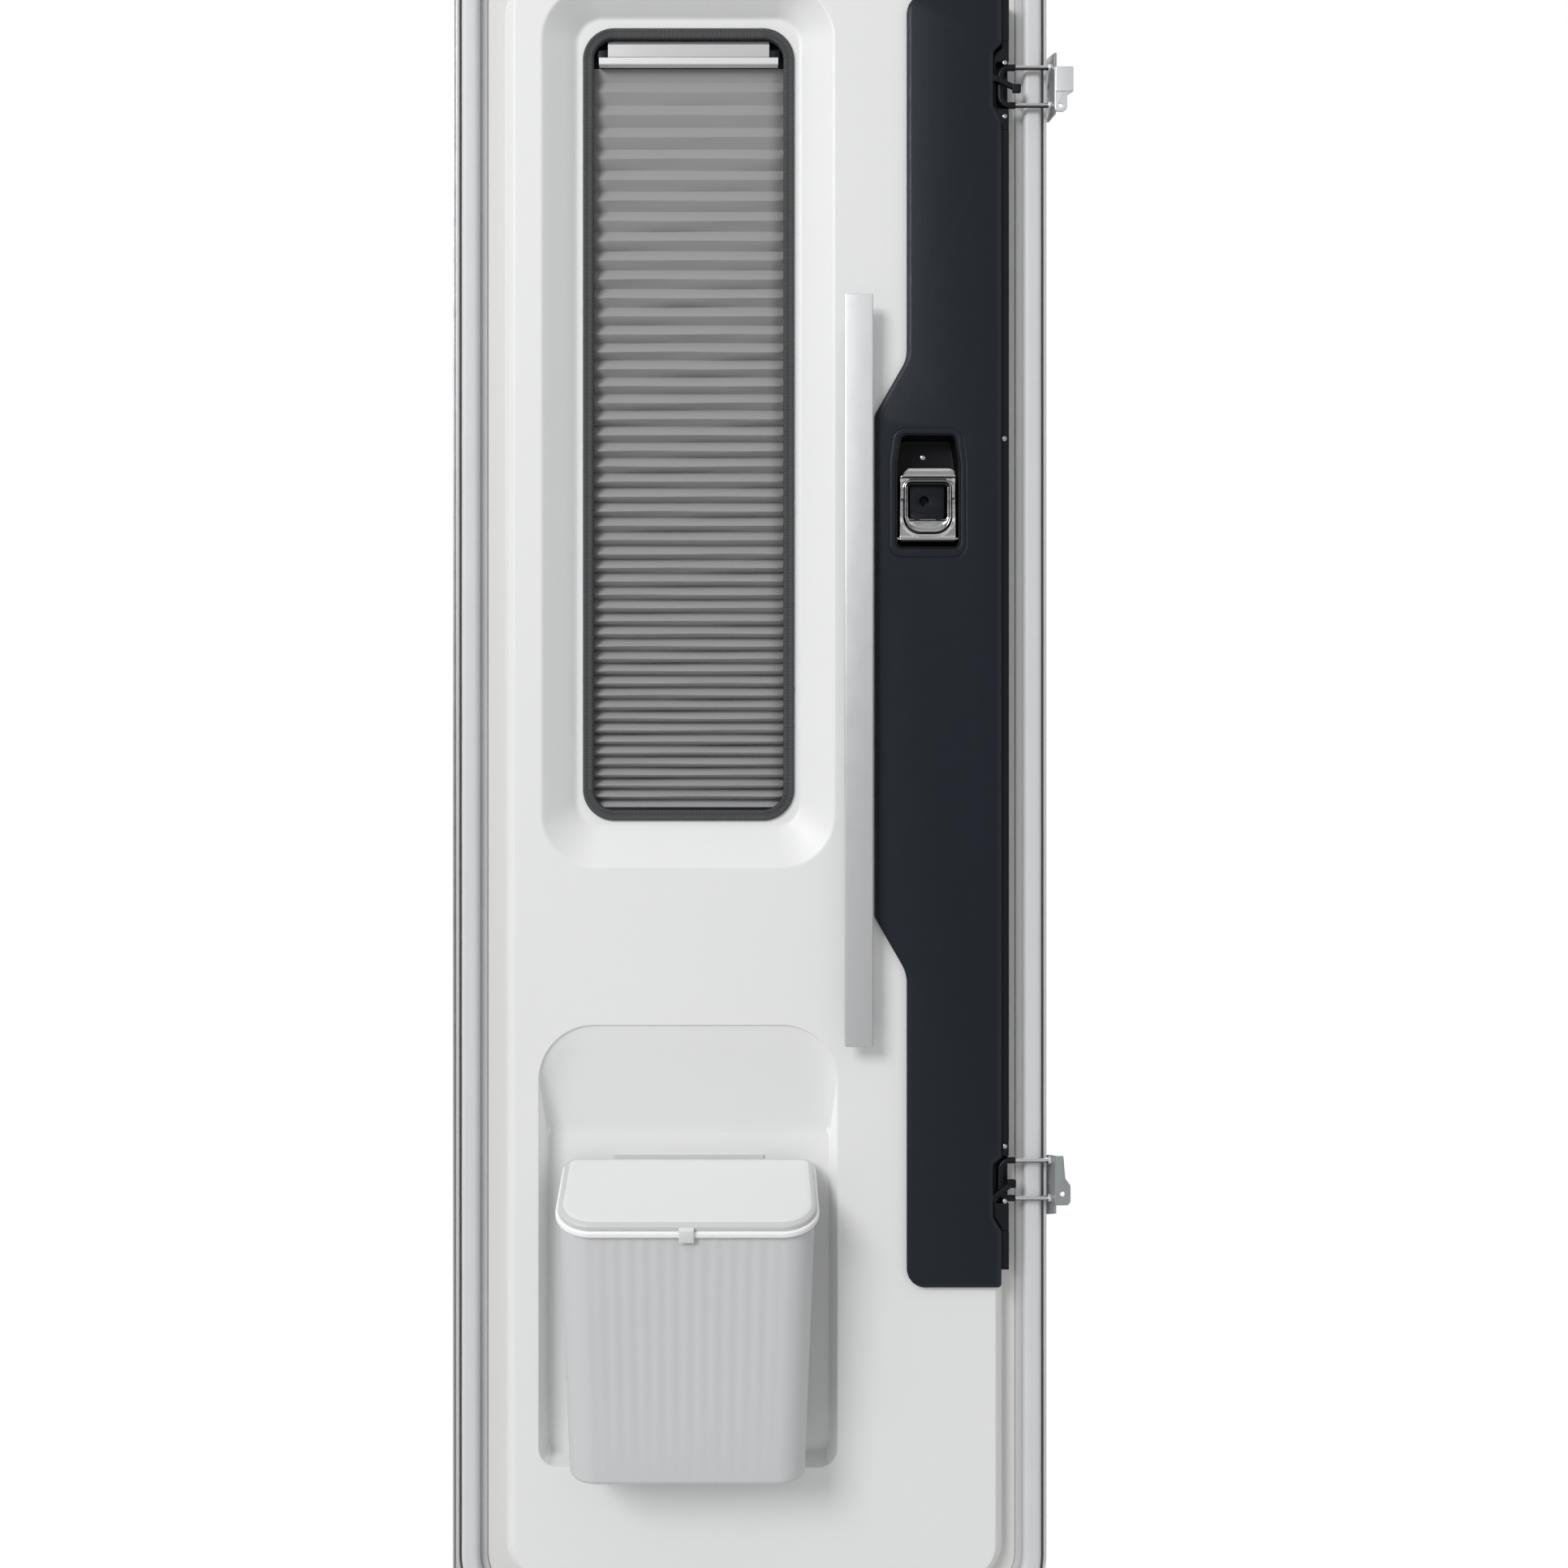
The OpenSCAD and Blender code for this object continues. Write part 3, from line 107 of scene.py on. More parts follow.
def circle(cx, cz, r, n=24):
    """Closed ring of n points on a circle."""
    return arc(cx, cz, r, 0, 360, n)[:-1]


def rounded(x0, x1, z0, z1, r, r_low=None, n=14):
    """Rounded rectangle, anticlockwise seen from the room: four quarter circles joined by straight stretches."""
    q = r if r_low is None else r_low
    return np.concatenate([arc(x1 - r, z1 - r, r, 0, 90, n), arc(x0 + r, z1 - r, r, 90, 180, n),
                           arc(x0 + q, z0 + q, q, 180, 270, n), arc(x1 - q, z0 + q, q, 270, 360, n)])


def grown(box, d):
    """The numbers of a rounded rectangle whose every side and radius is moved outwards by d."""
    return (box[0] - d, box[1] + d, box[2] - d, box[3] + d) + tuple(r + d for r in box[4:])


def corner_arcs(points, n=6):
    """Polygon given as x, z, radius: each corner becomes an arc that touches both of its sides."""
    p = np.array(points, float)
    b, r = p[:, :2], p[:, 2:]
    u, v = unit(np.roll(b, 1, 0) - b), unit(np.roll(b, -1, 0) - b)
    half = np.arccos(np.clip((u * v).sum(1, keepdims=True), -1, 1)) / 2
    mid = b + unit(u + v) * r / np.sin(half)
    start, end = b + u * r / np.tan(half), b + v * r / np.tan(half)
    t = np.linspace(0, 1, n + 1)[None, :, None]
    d = unit(start[:, None] * (1 - t) + end[:, None] * t - mid[:, None])
    return (mid[:, None] + d * r[:, None]).reshape(-1, 2)


def moved_in(points, d):
    """Corner polygon (x, z, radius), anticlockwise, with every side moved inwards by d and its radii matched."""
    p = np.array(points, float)
    b = p[:, :2]
    ahead = unit(np.roll(b, -1, 0) - b)
    n1 = np.stack([-ahead[:, 1], ahead[:, 0]], 1)
    n0 = np.roll(n1, 1, 0)
    mitre = (n0 + n1) / (1 + (n0 * n1).sum(1, keepdims=True))
    convex = np.sign(np.cross(np.roll(ahead, 1, 0), ahead))
    return np.concatenate([b + mitre * d, np.maximum(p[:, 2] - convex * d, 0.3)[:, None]], 1)


def framed(x0, x1, z0, z1, radii, cut=(), n=8, m=14):
    """Rounded rectangle with its own radius at each corner; corners named in cut are straight chamfers."""
    parts = []
    for k, (sx, sz) in enumerate(((1, 1), (-1, 1), (-1, -1), (1, -1))):
        r = radii[k]
        q = arc(x1 - r if sx > 0 else x0 + r, z1 - r if sz > 0 else z0 + r, r, 90 * k, 90 * k + 90, n)
        if k in cut:
            q = q[0] + (q[-1] - q[0]) * np.linspace(0, 1, n + 1)[:, None]
        parts.append(q)
    out = []
    for k in range(4):
        a, b = parts[k][-1], parts[(k + 1) % 4][0]
        out += [parts[k], a + (b - a) * np.linspace(0, 1, m + 1)[1:-1, None]]
    return np.concatenate(out)


def divided(outline, step):
    """Closed outline with points added along its straights, so no stretch is longer than step."""
    nxt = np.roll(outline, -1, 0)
    count = np.maximum(1, np.ceil(np.linalg.norm(nxt - outline, axis=1) / step)).astype(int)
    i = np.repeat(np.arange(len(outline)), count)
    f = (np.arange(count.sum()) - np.repeat(np.cumsum(count) - count, count)) / np.repeat(count, count)
    return outline[i] + (nxt[i] - outline[i]) * f[:, None]


def outward(outline):
    """Outward direction at each point of an anticlockwise outline, lengthened at corners so offsets stay parallel."""
    ahead = unit(np.roll(outline, -1, 0) - outline)
    behind = np.roll(ahead, 1, 0)
    n = unit(np.stack([ahead[:, 1] + behind[:, 1], -ahead[:, 0] - behind[:, 0]], 1))
    return n / np.maximum((n * np.stack([ahead[:, 1], -ahead[:, 0]], 1)).sum(1, keepdims=True), 0.3)


def carried(outline, profile):
    """A profile of (inset, y) carried round an outline: point minus outward direction times inset, at depth y."""
    prof = np.array(profile, float)
    n = outward(outline)
    flat = outline[None] - n[None] * prof[:, 0, None, None]
    return np.stack([flat[..., 0], np.repeat(prof[:, 1:2], len(outline), 1), flat[..., 1]], 2)


def ringed(circle, start, end, n):
    """Points of a roll: an arc as (inset, y) pairs from its centre and radius and two angles."""
    return arc(*circle, start, end, n).tolist()


class Surface:
    """Gathers grids and flat plates of one piece and writes them as one mesh."""

    def __init__(self):
        self.points, self.quads, self.tris, self.uvs, self.count = [], [], [], [], 0

    def add(self, points, faces, flip, uv=None):
        """Adds points, and faces that name them from 0 upwards."""
        points = points.reshape(-1, 3)
        store = self.quads if faces.shape[1] == 4 else self.tris
        store.append((faces[:, ::-1] if flip else faces) + self.count)
        self.points.append(points)
        self.uvs.append(np.zeros((len(points), 2)) if uv is None else uv.reshape(-1, 2))
        self.count += len(points)
        return self

    def grid(self, p, around=True, flip=False, closed_u=False, uv=None):
        """Quads over an array of points (u, v). Where it runs around, its first column is repeated as its last."""
        if around:
            p = np.concatenate([p, p[:, :1]], 1)
        if closed_u:
            p = np.concatenate([p, p[:1]], 0)
        i = np.arange(p.size // 3).reshape(p.shape[:2])
        return self.add(p, np.stack([i[:-1, :-1], i[1:, :-1], i[1:, 1:], i[:-1, 1:]], -1).reshape(-1, 4), flip, uv)

    def plate(self, at, outline, holes=(), flip=False, axis=1):
        """Flat plate at depth y, or across X where the axis is 0, inside an outline and outside its holes."""
        rings = [r[:, [0, 2]] if r.shape[1] == 3 else r for r in [outline, *holes]]
        tris = tessellate_polygon([[(float(a), float(b), 0.0) for a, b in ring] for ring in rings])
        return self.add(level(np.concatenate(rings), at, axis), np.array(tris), flip)

    def lid(self, ring, flip=False):
        """Closes a ring of points in space with triangles that meet at its middle."""
        i = np.arange(len(ring))
        tris = np.stack([i, np.roll(i, -1), np.full(len(ring), len(ring))], 1)
        return self.add(np.concatenate([ring, ring.mean(0)[None]]), tris, flip)

    def make(self, name, material, slot=None, replaces=(), body="leaf", sharp=32.0, closed=True):
        """Writes the mesh in metres, joins doubled points, turns the faces outwards, shades it and sets its finish."""
        me = bpy.data.meshes.new(name)
        faces = [f for part in self.quads + self.tris for f in part.tolist()]
        me.from_pydata((np.concatenate(self.points) * MM).tolist(), [], faces)
        uv = np.concatenate(self.uvs)
        idx = np.zeros(len(me.loops), np.int32)
        me.loops.foreach_get("vertex_index", idx)
        me.uv_layers.new(name="run").data.foreach_set("uv", uv[idx].astype(np.float32).ravel())
        bm = bmesh.new()
        bm.from_mesh(me)
        bmesh.ops.remove_doubles(bm, verts=bm.verts, dist=2e-6)
        bmesh.ops.dissolve_degenerate(bm, edges=bm.edges, dist=1e-7)
        if closed:
            bmesh.ops.recalc_face_normals(bm, faces=bm.faces)
        bm.to_mesh(me)
        bm.free()
        me.shade_smooth()
        me.set_sharp_from_angle(angle=math.radians(sharp))
        ob = bpy.data.objects.new(name, me)
        bpy.context.scene.collection.objects.link(ob)
        me.materials.append(MAT[material])
        if replaces:
            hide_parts(*replaces)
        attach(ob, body)
        return ob


def capped(p):
    """Rings of points joined to a tube and closed at both ends."""
    return Surface().grid(p).lid(p[0]).lid(p[-1])


def plate_solid(outline, y_front, y_back, roll, holes=(), n=4, hole_roll=0.4):
    """Plate with rolled edges: the outline carried with a quarter roll at the front, holes rolled the other way."""
    hr, back_roll = hole_roll, 0.3
    p = carried(outline, [(back_roll, y_back), (0.0, y_back - back_roll)]
                + ringed((roll, y_front + roll, roll), 180, 270, n))
    edge = [(-back_roll, y_back), (0.0, y_back - back_roll)] + [
        (-a, b) for a, b in ringed((hr, y_front + hr, hr), 180, 270, n)]
    bores = [carried(h, edge) for h in holes]
    s = Surface().grid(p)
    for q in bores:
        s.grid(q, flip=True)
    return s.plate(y_front, p[-1], [q[-1] for q in bores]).plate(y_back, p[0], [q[0] for q in bores], flip=True)


def block_solid(x0, x1, y0, y1, z0, z1, r, n=3):
    """Box with rolled edges: each point is the centre of a corner's ball plus r times a direction on the ball."""
    lon = np.concatenate([np.linspace(q * 90, q * 90 + 90, n + 1) for q in range(4)])
    sx = np.repeat([1, -1, -1, 1], n + 1)
    sy = np.repeat([1, 1, -1, -1], n + 1)
    lat = np.concatenate([np.linspace(-90, 0, n + 1), np.linspace(0, 90, n + 1)])
    sz = np.repeat([-1, 1], n + 1)
    a, b = np.radians(lon)[None], np.radians(lat)[:, None]
    p = np.stack([(x0 + x1) / 2 + sx[None] * ((x1 - x0) / 2 - r) + r * np.cos(a) * np.cos(b),
                  (y0 + y1) / 2 + sy[None] * ((y1 - y0) / 2 - r) + r * np.sin(a) * np.cos(b),
                  (z0 + z1) / 2 + sz[:, None] * ((z1 - z0) / 2 - r) + r * np.sin(b) + 0 * a], 2)
    return Surface().grid(p).lid(p[0, ::n + 1]).lid(p[-1, ::n + 1])


def rolled_ends(x0, x1, r):
    """Places along X, each with how far the outline lies inwards there, for a piece whose two ends are rolled by r."""
    return ((x0, r), (x0 + 0.3 * r, 0.3 * r), (x0 + r, 0.0), (x1 - r, 0.0), (x1 - 0.3 * r, 0.3 * r), (x1, r))


def bar_x(profile, x0, x1, r):
    """Closed outline of (y, z), anticlockwise, carried from x0 to x1; both ends are rolled inwards by r."""
    q = np.array(profile, float)
    mid = q.mean(0)
    half = np.abs(q - mid).max(0)
    return capped(np.array([level(mid + (q - mid) * (1 - d / half), x, 0) for x, d in rolled_ends(x0, x1, r)]))


def tube_points(path, r, n=20):
    """Circle carried along a path that keeps to one depth: point plus r times (cosine along the path's side, sine
    along Y)."""
    up = np.array([0.0, 1.0, 0.0])
    across = unit(np.cross(unit(np.gradient(path, axis=0)), up))
    a = np.linspace(0, 2 * np.pi, n, endpoint=False)[None, :, None]
    rr = np.broadcast_to(np.asarray(r, float), (len(path),))[:, None, None]
    return path[:, None] + rr * (np.cos(a) * across[:, None] + np.sin(a) * up[None, None])


def u_path(zc, x_end):
    """U-shaped middle line of a keeper: two straight legs, two quarter bends of 10 mm and an upright bar."""
    h, bend, n = LOOP_HALF, 10.0, 10
    top = arc(LOOP_X + bend, zc + h - bend, bend, 90, 180, n)
    low = arc(LOOP_X + bend, zc - h + bend, bend, 180, 270, n)
    legs = np.linspace(x_end, LOOP_X + bend + 1.5, 6)
    flat = [np.stack([legs, np.full(6, zc + h)], 1), top, low, np.stack([legs[::-1], np.full(6, zc - h)], 1)]
    return level(np.concatenate(flat), LOOP_Y)


def tube_solid(path, r, hollow=None):
    """Round rod along a path that keeps to one depth, its ends rounded off, or a sleeve with a bore."""
    if hollow is None:
        t0, t1 = unit(path[0] - path[1]), unit(path[-1] - path[-2])
        e = 0.25 * r
        full = np.concatenate([[path[0] + t0 * e, path[0] + t0 * e * 0.7], path,
                               [path[-1] + t1 * e * 0.7, path[-1] + t1 * e]])
        radii = np.concatenate([[r * 0.75, r * 0.93], np.full(len(path), r), [r * 0.93, r * 0.75]])
        return capped(tube_points(full, radii))
    p, q = tube_points(path, r), tube_points(path, hollow)
    s = Surface().grid(p).grid(q, flip=True)
    return s.grid(np.stack([p[0], q[0]]), flip=True).grid(np.stack([p[-1], q[-1]]))


def turned(centre, axis, profile, n=32, slot=0.0):
    """Profile of (radius, height) turned about an axis named "-Y" or "+X", along which the height grows; slot sinks a
    cross into the top by its depth."""
    prof = np.array(profile, float)
    a = np.linspace(0, 2 * np.pi, n, endpoint=False)
    x, z = prof[:, :1] * np.cos(a), prof[:, :1] * np.sin(a)
    h = np.repeat(prof[:, 1:], n, 1)
    if slot:
        arm, wide = 0.6 * prof[:, 0].max(), 0.16 * prof[:, 0].max()
        cross = ((abs(x) < wide) & (abs(z) < arm)) | ((abs(z) < wide) & (abs(x) < arm))
        h = h - slot * (cross & (h > prof[:, 1].max() * 0.4))
    at = [h, x, z] if axis == "+X" else [x, -h, z]
    return capped(np.stack([c + v for c, v in zip(centre, at)], 2))


def pan_screw(name, x, y, z, r):
    """Small pan-head screw on the leaf: a domed head turned from an arc, with a cross sunk in its top."""
    rho = np.linspace(0.999, 0.02, 12)
    dome = [(r * 0.96, -0.3)] + [(r * q, 0.55 * r * math.sqrt(1 - 0.72 * q * q)) for q in rho]
    turned((x, y, z), "-Y", dome, n=40, slot=0.32 * r).make(name, "screw")


# ---------------------------------------------------------------- materials
def put(tree, kind, inputs=None, **props):
    """Adds a shader node, sets its properties, and sets or links its inputs."""
    n = tree.nodes.new(kind)
    for key, value in props.items():
        setattr(n, key, value)
    for key, value in (inputs or {}).items():
        if isinstance(value, bpy.types.NodeSocket):
            tree.links.new(value, n.inputs[key])
        else:
            n.inputs[key].default_value = value
    return n


def calc(tree, operation, *values, clamp=False):
    """Adds one step of arithmetic and returns its result."""
    return put(tree, "ShaderNodeMath", dict(enumerate(values)), operation=operation, use_clamp=clamp).outputs[0]


def scaled(tree, by):
    """The object's own coordinates, stretched by a vector."""
    co = put(tree, "ShaderNodeTexCoord").outputs["Object"]
    return put(tree, "ShaderNodeVectorMath", {0: co, 1: by}, operation="MULTIPLY").outputs[0]


def effect(name, inputs, outputs):
    """Starts a node group with named inputs and outputs and returns it with its two end nodes."""
    tree = bpy.data.node_groups.new(name, "ShaderNodeTree")
    for label, kind, value in inputs:
        tree.interface.new_socket(label, in_out="INPUT", socket_type="NodeSocket" + kind).default_value = value
    for label, kind in outputs:
        tree.interface.new_socket(label, in_out="OUTPUT", socket_type="NodeSocket" + kind)
    return tree, put(tree, "NodeGroupInput"), put(tree, "NodeGroupOutput")


def build_tone():
    """Slow drift of a colour over the surface: soft noise makes it a little lighter or darker."""
    tree, a, b = effect("slow_tone", [("Colour", "Color", (1, 1, 1, 1)), ("Amount", "Float", 0.05),
                                      ("Scale", "Float", 6.0), ("Rough", "Float", 0.4)],
                        [("Colour", "Color"), ("Rough", "Float")])
    co = put(tree, "ShaderNodeTexCoord").outputs["Object"]
    slow = put(tree, "ShaderNodeTexNoise", {"Vector": co, "Scale": a.outputs["Scale"], "Detail": 3.0})
    swing = calc(tree, "MULTIPLY", calc(tree, "SUBTRACT", slow.outputs["Fac"], 0.5), a.outputs["Amount"])
    col = put(tree, "ShaderNodeVectorMath", {0: a.outputs["Colour"], "Scale": calc(tree, "ADD", swing, 1.0)},
              operation="SCALE")
    tree.links.new(col.outputs[0], b.inputs["Colour"])
    fine = put(tree, "ShaderNodeTexNoise", {"Vector": co, "Scale": 60.0, "Detail": 4.0})
    rough = calc(tree, "MULTIPLY_ADD", fine.outputs["Fac"], 0.16, a.outputs["Rough"])
    tree.links.new(calc(tree, "SUBTRACT", rough, 0.08, clamp=True), b.inputs["Rough"])
    return tree


def build_grain():
    """Fine moulded grain: two sizes of noise give a height."""
    tree, a, b = effect("moulded_grain", [("Scale", "Float", 900.0), ("Depth", "Float", 1.0)],
                        [("Height", "Float")])
    co = put(tree, "ShaderNodeTexCoord").outputs["Object"]
    fine = put(tree, "ShaderNodeTexNoise", {"Vector": co, "Scale": a.outputs["Scale"], "Detail": 2.0})
    cell = put(tree, "ShaderNodeTexVoronoi", {"Vector": co, "Scale": a.outputs["Scale"]}, feature="F1")
    both = calc(tree, "ADD", fine.outputs["Fac"], cell.outputs["Distance"])
    tree.links.new(calc(tree, "MULTIPLY", both, a.outputs["Depth"]), b.inputs["Height"])
    return tree


def build_drawn():
    """Drawn or brushed metal: noise stretched along one direction gives a mask and a height."""
    tree, a, b = effect("drawn_lines", [("Stretch", "Vector", (900.0, 900.0, 8.0)),
                                        ("Depth", "Float", 1.0)],
                        [("Height", "Float")])
    pulled = scaled(tree, a.outputs["Stretch"])
    lines = put(tree, "ShaderNodeTexNoise", {"Vector": pulled, "Scale": 1.0, "Detail": 3.0})
    tree.links.new(calc(tree, "MULTIPLY", lines.outputs["Fac"], a.outputs["Depth"]), b.inputs["Height"])
    return tree


TONE, GRAIN, DRAWN = build_tone(), build_grain(), build_drawn()


def group(tree, shared, inputs):
    """Adds a shared node group with its inputs set."""
    n = put(tree, "ShaderNodeGroup", node_tree=shared)
    for key, value in inputs.items():
        n.inputs[key].default_value = value
    return n


def finish(name, colour, rough, tone=0.05, scale=6.0, grain=0.0, grain_scale=900.0, strength=0.25,
           drawn=None, metal=0.0, distance=0.0002, **shader):
    """Material of one finish: slow tone on the colour and roughness, grain or drawn lines on the normal."""
    mat = bpy.data.materials.new(name)
    mat.use_nodes = True
    tree = mat.node_tree
    bsdf = tree.nodes["Principled BSDF"]
    t = group(tree, TONE, {"Colour": colour + (1.0,), "Amount": tone, "Scale": scale, "Rough": rough})
    tree.links.new(t.outputs["Colour"], bsdf.inputs["Base Color"])
    tree.links.new(t.outputs["Rough"], bsdf.inputs["Roughness"])
    bsdf.inputs["Metallic"].default_value = metal
    for key, value in shader.items():
        bsdf.inputs[key.replace("_", " ")].default_value = value
    height = None
    if grain:
        height = group(tree, GRAIN, {"Scale": grain_scale, "Depth": grain}).outputs["Height"]
    if drawn:
        height = group(tree, DRAWN, {"Stretch": drawn}).outputs["Height"]
    if height is not None:
        bump = put(tree, "ShaderNodeBump", {"Height": height, "Strength": strength, "Distance": distance})
        tree.links.new(bump.outputs["Normal"], bsdf.inputs["Normal"])
    return mat


def ribbed(mat, pitch, depth):
    """Adds crosswise ribs that follow the piece's own run map: a sine of the length along the path."""
    tree = mat.node_tree
    bsdf = tree.nodes["Principled BSDF"]
    uv = put(tree, "ShaderNodeUVMap", uv_map="run")
    along = put(tree, "ShaderNodeSeparateXYZ", {0: uv.outputs[0]}).outputs[0]
    wave = calc(tree, "SINE", calc(tree, "MULTIPLY", along, 2 * math.pi / pitch))
    bump = put(tree, "ShaderNodeBump", {"Height": wave, "Strength": 1.0, "Distance": depth,
                                        "Normal": bsdf.inputs["Normal"].links[0].from_socket})
    tree.links.new(bump.outputs["Normal"], bsdf.inputs["Normal"])


def woven(mat):
    """Adds a plain weave: two sets of crossing waves over the cloth's own run map."""
    tree = mat.node_tree
    uv = put(tree, "ShaderNodeUVMap", uv_map="run")
    warp, weft = (put(tree, "ShaderNodeTexWave", {"Vector": uv.outputs[0], "Scale": 0.6, "Distortion": 0.4},
                      bands_direction=way).outputs["Fac"] for way in "XY")
    bump = put(tree, "ShaderNodeBump", {"Height": calc(tree, "ADD", warp, weft), "Strength": 0.25, "Distance": 0.0001})
    tree.links.new(bump.outputs["Normal"], tree.nodes["Principled BSDF"].inputs["Normal"])


def ramp_over(tree, value, marks):
    """Grey levels over a value that runs from 0 to 1, given as pairs of place and level."""
    ramp = put(tree, "ShaderNodeValToRGB", {0: value})
    while len(ramp.color_ramp.elements) < len(marks):
        ramp.color_ramp.elements.new(0.5)
    for stop, (place, level) in zip(ramp.color_ramp.elements, marks):
        stop.position, stop.color = place, (level, level, level * 1.01, 1)
    return ramp.outputs[0]


def shaded(mat, value, marks):
    """Paints light and shade: multiplies a finish's colour by a ramp over a value."""
    tree = mat.node_tree
    colour = tree.nodes["Principled BSDF"].inputs["Base Color"]
    both = put(tree, "ShaderNodeVectorMath", {0: colour.links[0].from_socket, 1: ramp_over(tree, value, marks)},
               operation="MULTIPLY")
    tree.links.new(both.outputs[0], colour)


def painted_reflection_bands(mat, marks, waver):
    """Painted reflection on polished metal: light and dark bands painted into the colour by the surface's tilt, made
    uneven by stretched noise.
    """
    tree = mat.node_tree
    noise = put(tree, "ShaderNodeTexNoise", {"Vector": scaled(tree, (45.0, 60.0, 260.0)), "Scale": 1.0, "Detail": 1.0})
    tilt_z = put(tree, "ShaderNodeSeparateXYZ", {0: put(tree, "ShaderNodeNewGeometry").outputs["Normal"]}).outputs["Z"]
    uneven = calc(tree, "MULTIPLY_ADD", noise.outputs["Fac"], waver, 0.5 - waver / 2)
    shaded(mat, calc(tree, "MULTIPLY_ADD", tilt_z, 0.5, uneven), marks)


def painted_light_by_height(mat, low, high, marks):
    """Paints light and shade into a finish's colour: lighter or darker between two heights, in metres."""
    tree = mat.node_tree
    co = put(tree, "ShaderNodeTexCoord").outputs["Object"]
    z = put(tree, "ShaderNodeSeparateXYZ", {0: co}).outputs["Z"]
    shaded(mat, put(tree, "ShaderNodeMapRange", {0: z, 1: low, 2: high}).outputs[0], marks)


